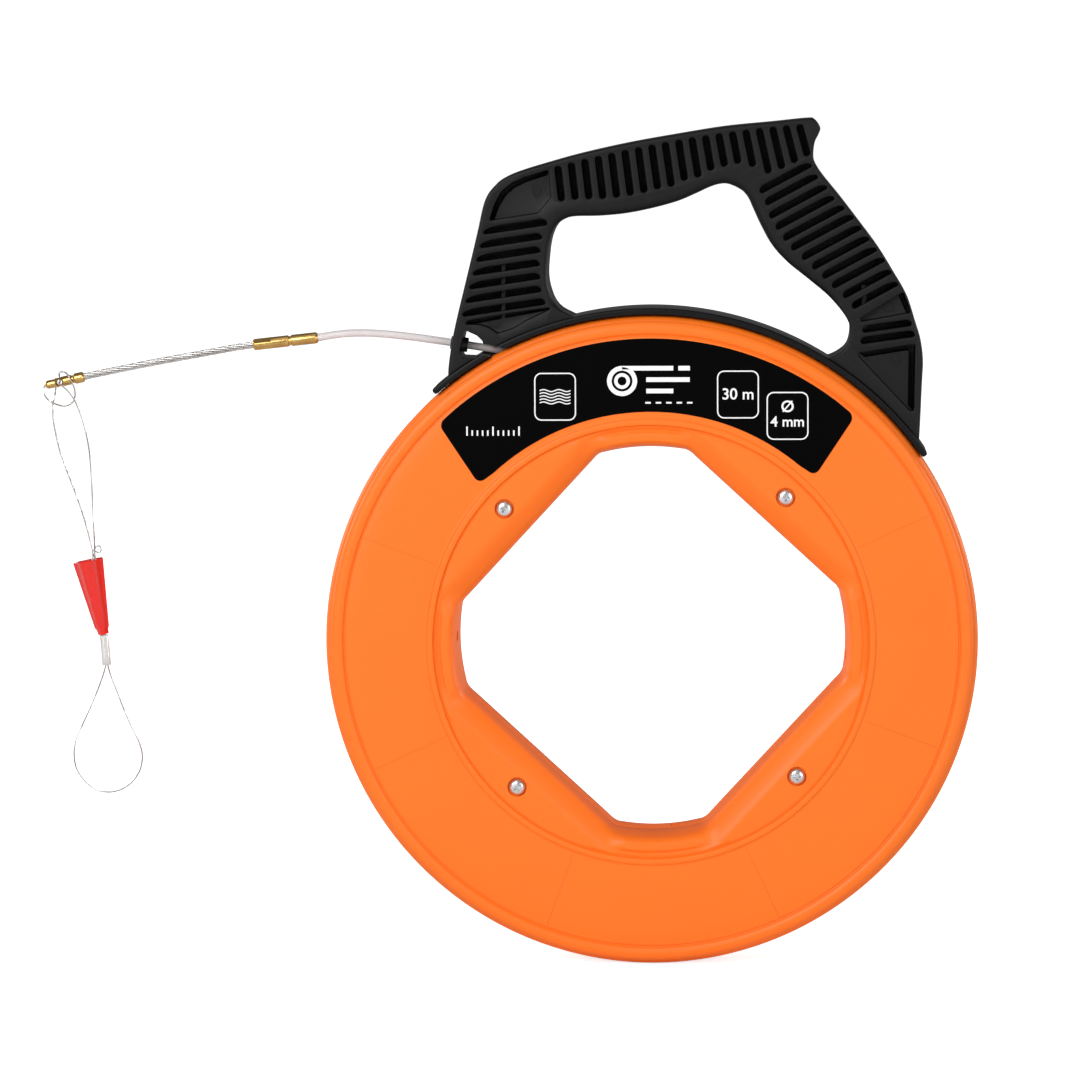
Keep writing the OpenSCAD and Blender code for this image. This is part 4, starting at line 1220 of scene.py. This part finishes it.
def cutTapeWay(bm):
    # the bore that the tape runs through, and the channel that opens it to the front
    angle = math.radians(tapeWay["angle"])
    leave = tapeWay["radius"] * Vector((math.cos(angle), math.sin(angle), 0))
    ahead = Vector((-math.sin(angle), math.cos(angle), 0))
    bore = tapeWay["bore"]
    tool = bmesh.new()
    addTurned(tool, [(0, 0), (bore, 0), (bore, 80), (0, 80)], alongLine(leave + 60 * ahead, ahead), 32)
    bm = combine(bm, tool)
    turn = Matrix.Translation(leave) @ Matrix.Rotation(math.atan2(ahead.y, ahead.x), 4, "Z")
    low, high = tapeWay["channel"]
    tool = bmesh.new()
    addBox(tool, low, high, turn)
    return combine(bm, tool)


def makeHandle():
    bm = addGripBody()
    slots, barCuts, armCuts, pockets, deep, pins, ribs = (bmesh.new() for _ in range(7))
    for side in (1, -1):
        for i, length in enumerate(legSlots):
            addSlot(slots, "leg", (-85 - 1.82 * i, 215.4 - 7.25 * i), length, side)
        for i, length in enumerate(barSlots):
            x = -48 + 6.9 * i
            start = (x + 0.2 + 0.1 * i, 258.8 + 0.195 * x - 0.00074 * x * x)  # along the bar's bow
            addSlot(barCuts, "bar", start, length, side, 8 * (i / 18) ** 2)
        for x, y, length in armSlots:
            addSlot(armCuts, "arm", (x + 1, y + 0.5), length, side)
        for x, y, length in footSlots:
            addSlot(slots, "foot", (x + 1, y), length, side)
        for outline in (shoulderPocket, elbowPocket, leftFootPocket, rightFootPocket):
            addPocket(pockets, outline, grip["pocket"], side)
        for outline in (shoulderTrench, elbowTrench, leftFootTrench, rightFootTrench):
            addPocket(deep, outline, grip["trench"], side, 0.1)
        for x, y in pinMarks:
            addTurned(pins, [(2.6, 12.6), (2.6, 14), (2.35, 14), (2.35, 12.6)],
                      Matrix.Translation((x, y, 0)) @ Matrix.Diagonal((1, 1, side, 1)), 24, True)
        low, high = sorted((1.0 * side, 12.5 * side))
        for left, foot, right, top in ribBoxes:
            addBox(ribs, (left, foot, low), (right, top, high), None, 0.2)
    window = bmesh.new()
    outline = roundedPath(exitWindow, 4)
    addLoft(window, [[Vector((p.x, p.y, z)) for p in outline] for z in (-20, 20)])
    for cuts in (slots, barCuts, armCuts, pockets, deep, pins, window):
        bm = combine(bm, cuts)
    bm = combine(cutTapeWay(bm), ribs, "UNION")
    # drawn in a little towards the top, where the grip stands nearest the eye
    for v in bm.verts:
        draw = 1 - grip["draw"] * max(0.0, v.co.y - 150) / 123  # none at y 150, all at the top
        v.co.x *= draw
        v.co.y *= draw
    bmesh.ops.dissolve_degenerate(bm, dist=1e-4, edges=bm.edges)
    finishPiece(bm, "handleGrip", "handle", "handlePlastic", ("handle",), 35)


band = {"inner": 170.5, "outer": 174.0, "half": 19.5, "from": 34.3, "to": 130.8, "steps": 120,
        "caps": ((0.0, 0.35), (0.06, 0.62), (0.2, 0.83), (0.42, 0.96), (0.62, 1.0)),
        "rail": [(163.0, -8.0, 0.4), (166.0, -8.0, 0.3), (166.0, -2.7, 0.2), (171.5, -2.7, 0),
                 (171.5, 2.7, 0), (166.0, 2.7, 0.2), (166.0, 8.0, 0.3), (163.0, 8.0, 0.4)]}


def makeBand():
    # curved plate over the rim, with a T rail that runs in the case's slot
    bm = bmesh.new()
    inner, outer, half = band["inner"], band["outer"], band["half"]
    section = roundedPath([(inner, -half, 0.7), (outer, -half, 1.1), (outer, half, 1.1),
                           (inner, half, 0.7)], 5)
    middle = (inner + outer) / 2
    start, end, steps, caps = band["from"], band["to"], band["steps"], band["caps"]
    angles = [(start + turn, size) for turn, size in caps]
    angles += [(start + 0.8 + (end - start - 1.6) * k / steps, 1.0) for k in range(steps + 1)]
    angles += [(end - turn, size) for turn, size in caps[::-1]]
    rings = [[polar(middle + (p.x - middle) * size, angle, p.y - math.copysign(1.75 * (1 - size), p.y))
              for p in section] for angle, size in angles]
    addLoft(bm, rings)
    rail = roundedPath(band["rail"], 3)
    tool = bmesh.new()
    addLoft(tool, [[polar(p.x, 38 + 89 * k / 90, p.y) for p in rail] for k in range(91)])
    bm = cutTapeWay(combine(bm, tool, "UNION"))
    finishPiece(bm, "rimBand", "handle", "bandPlastic", ("rim_band",), 32)


makeHandle()
makeBand()

# CAD nodes that keep their shape get their finish here.
kept = {"tape_anchor": "screwSteel", "anchor_screw": "screwSteel", "band_screws": "screwSteel",
        "tape_guide": "bushPlastic", "tape_lead": "glassFibre"}
for name, finish in kept.items():
    mesh = frame["nodes"][name].data
    mesh.materials.clear()
    mesh.materials.append(materials[finish])
print("finishes on the kept nodes")


floor = {"radius": 9.0, "gap": 0.0004, "pale": (0.9, 0.9, 0.9, 1), "dim": (0.88, 0.88, 0.88, 1),
         "glowNear": 0.55, "glowReach": 0.9}
worldGlow = {"To Min": 0.22, "To Max": 1.05}  # on the object, and behind it
aimPoint = Vector((-0.05, 0, -0.2))
lamps = {  # place, size and power
    "key": ((-1.2, -2.2, 0.9), 1.4, 45), "fill": ((1.7, -2.1, 0.2), 1.6, 24),
    "top": ((-0.2, -0.9, 1.9), 1.2, 3), "backRight": ((2.3, 1.1, 0.4), 1.0, 20),
    "backLeft": ((-2.3, 1.1, 0.4), 1.0, 20)}


def makeFloor():
    bm = bmesh.new()
    bmesh.ops.create_circle(bm, cap_ends=True, segments=96, radius=floor["radius"])
    mesh = bpy.data.meshes.new("floor")
    bm.to_mesh(mesh)
    bm.free()
    mesh.transform(Matrix.Translation((0, 0, cadBox[0][2] - floor["gap"])))
    tree, shader = newMaterial("paleFloor", {"Roughness": 0.9, "Specular IOR Level": 0.1,
                                             "Emission Color": (1, 1, 1, 1)})
    place = tree.nodes.new("ShaderNodeTexCoord").outputs["Object"]
    clouds = noise(tree, place, 3.0, 2.0)
    tree.links.new(mixColours(tree, clouds, floor["pale"], floor["dim"]), shader.inputs["Base Color"])
    distance = node(tree, "VectorMath", {0: place}, "Value", operation="LENGTH")
    far = node(tree, "MapRange", {"Value": distance, "From Max": floor["glowReach"],
                                  "To Min": floor["glowNear"]})
    seen = tree.nodes.new("ShaderNodeLightPath").outputs["Is Camera Ray"]
    tree.links.new(maths(tree, "MULTIPLY", far, seen), shader.inputs["Emission Strength"])
    mesh.materials.append(materials["paleFloor"])
    newObject("floor", mesh)


def makeLights():
    world = bpy.data.worlds.new("studio")
    world.use_nodes = True
    scene.world = world
    tree = world.node_tree
    background = tree.nodes["Background"]
    background.inputs["Color"].default_value = (1, 1, 1, 1)
    seen = tree.nodes.new("ShaderNodeLightPath").outputs["Is Camera Ray"]
    tree.links.new(node(tree, "MapRange", {"Value": seen, **worldGlow}), background.inputs["Strength"])
    for name, (place, size, power) in lamps.items():
        lamp = bpy.data.lights.new(name, "AREA")
        lamp.size = size
        lamp.energy = power
        aim = (aimPoint - Vector(place)).to_track_quat("-Z", "Y").to_matrix().to_4x4()
        newObject(name, lamp).matrix_world = Matrix.Translation(place) @ aim
    scene.view_settings.view_transform = "Standard"
    print("floor and lights set")


makeFloor()
makeLights()

bpy.context.view_layer.update()
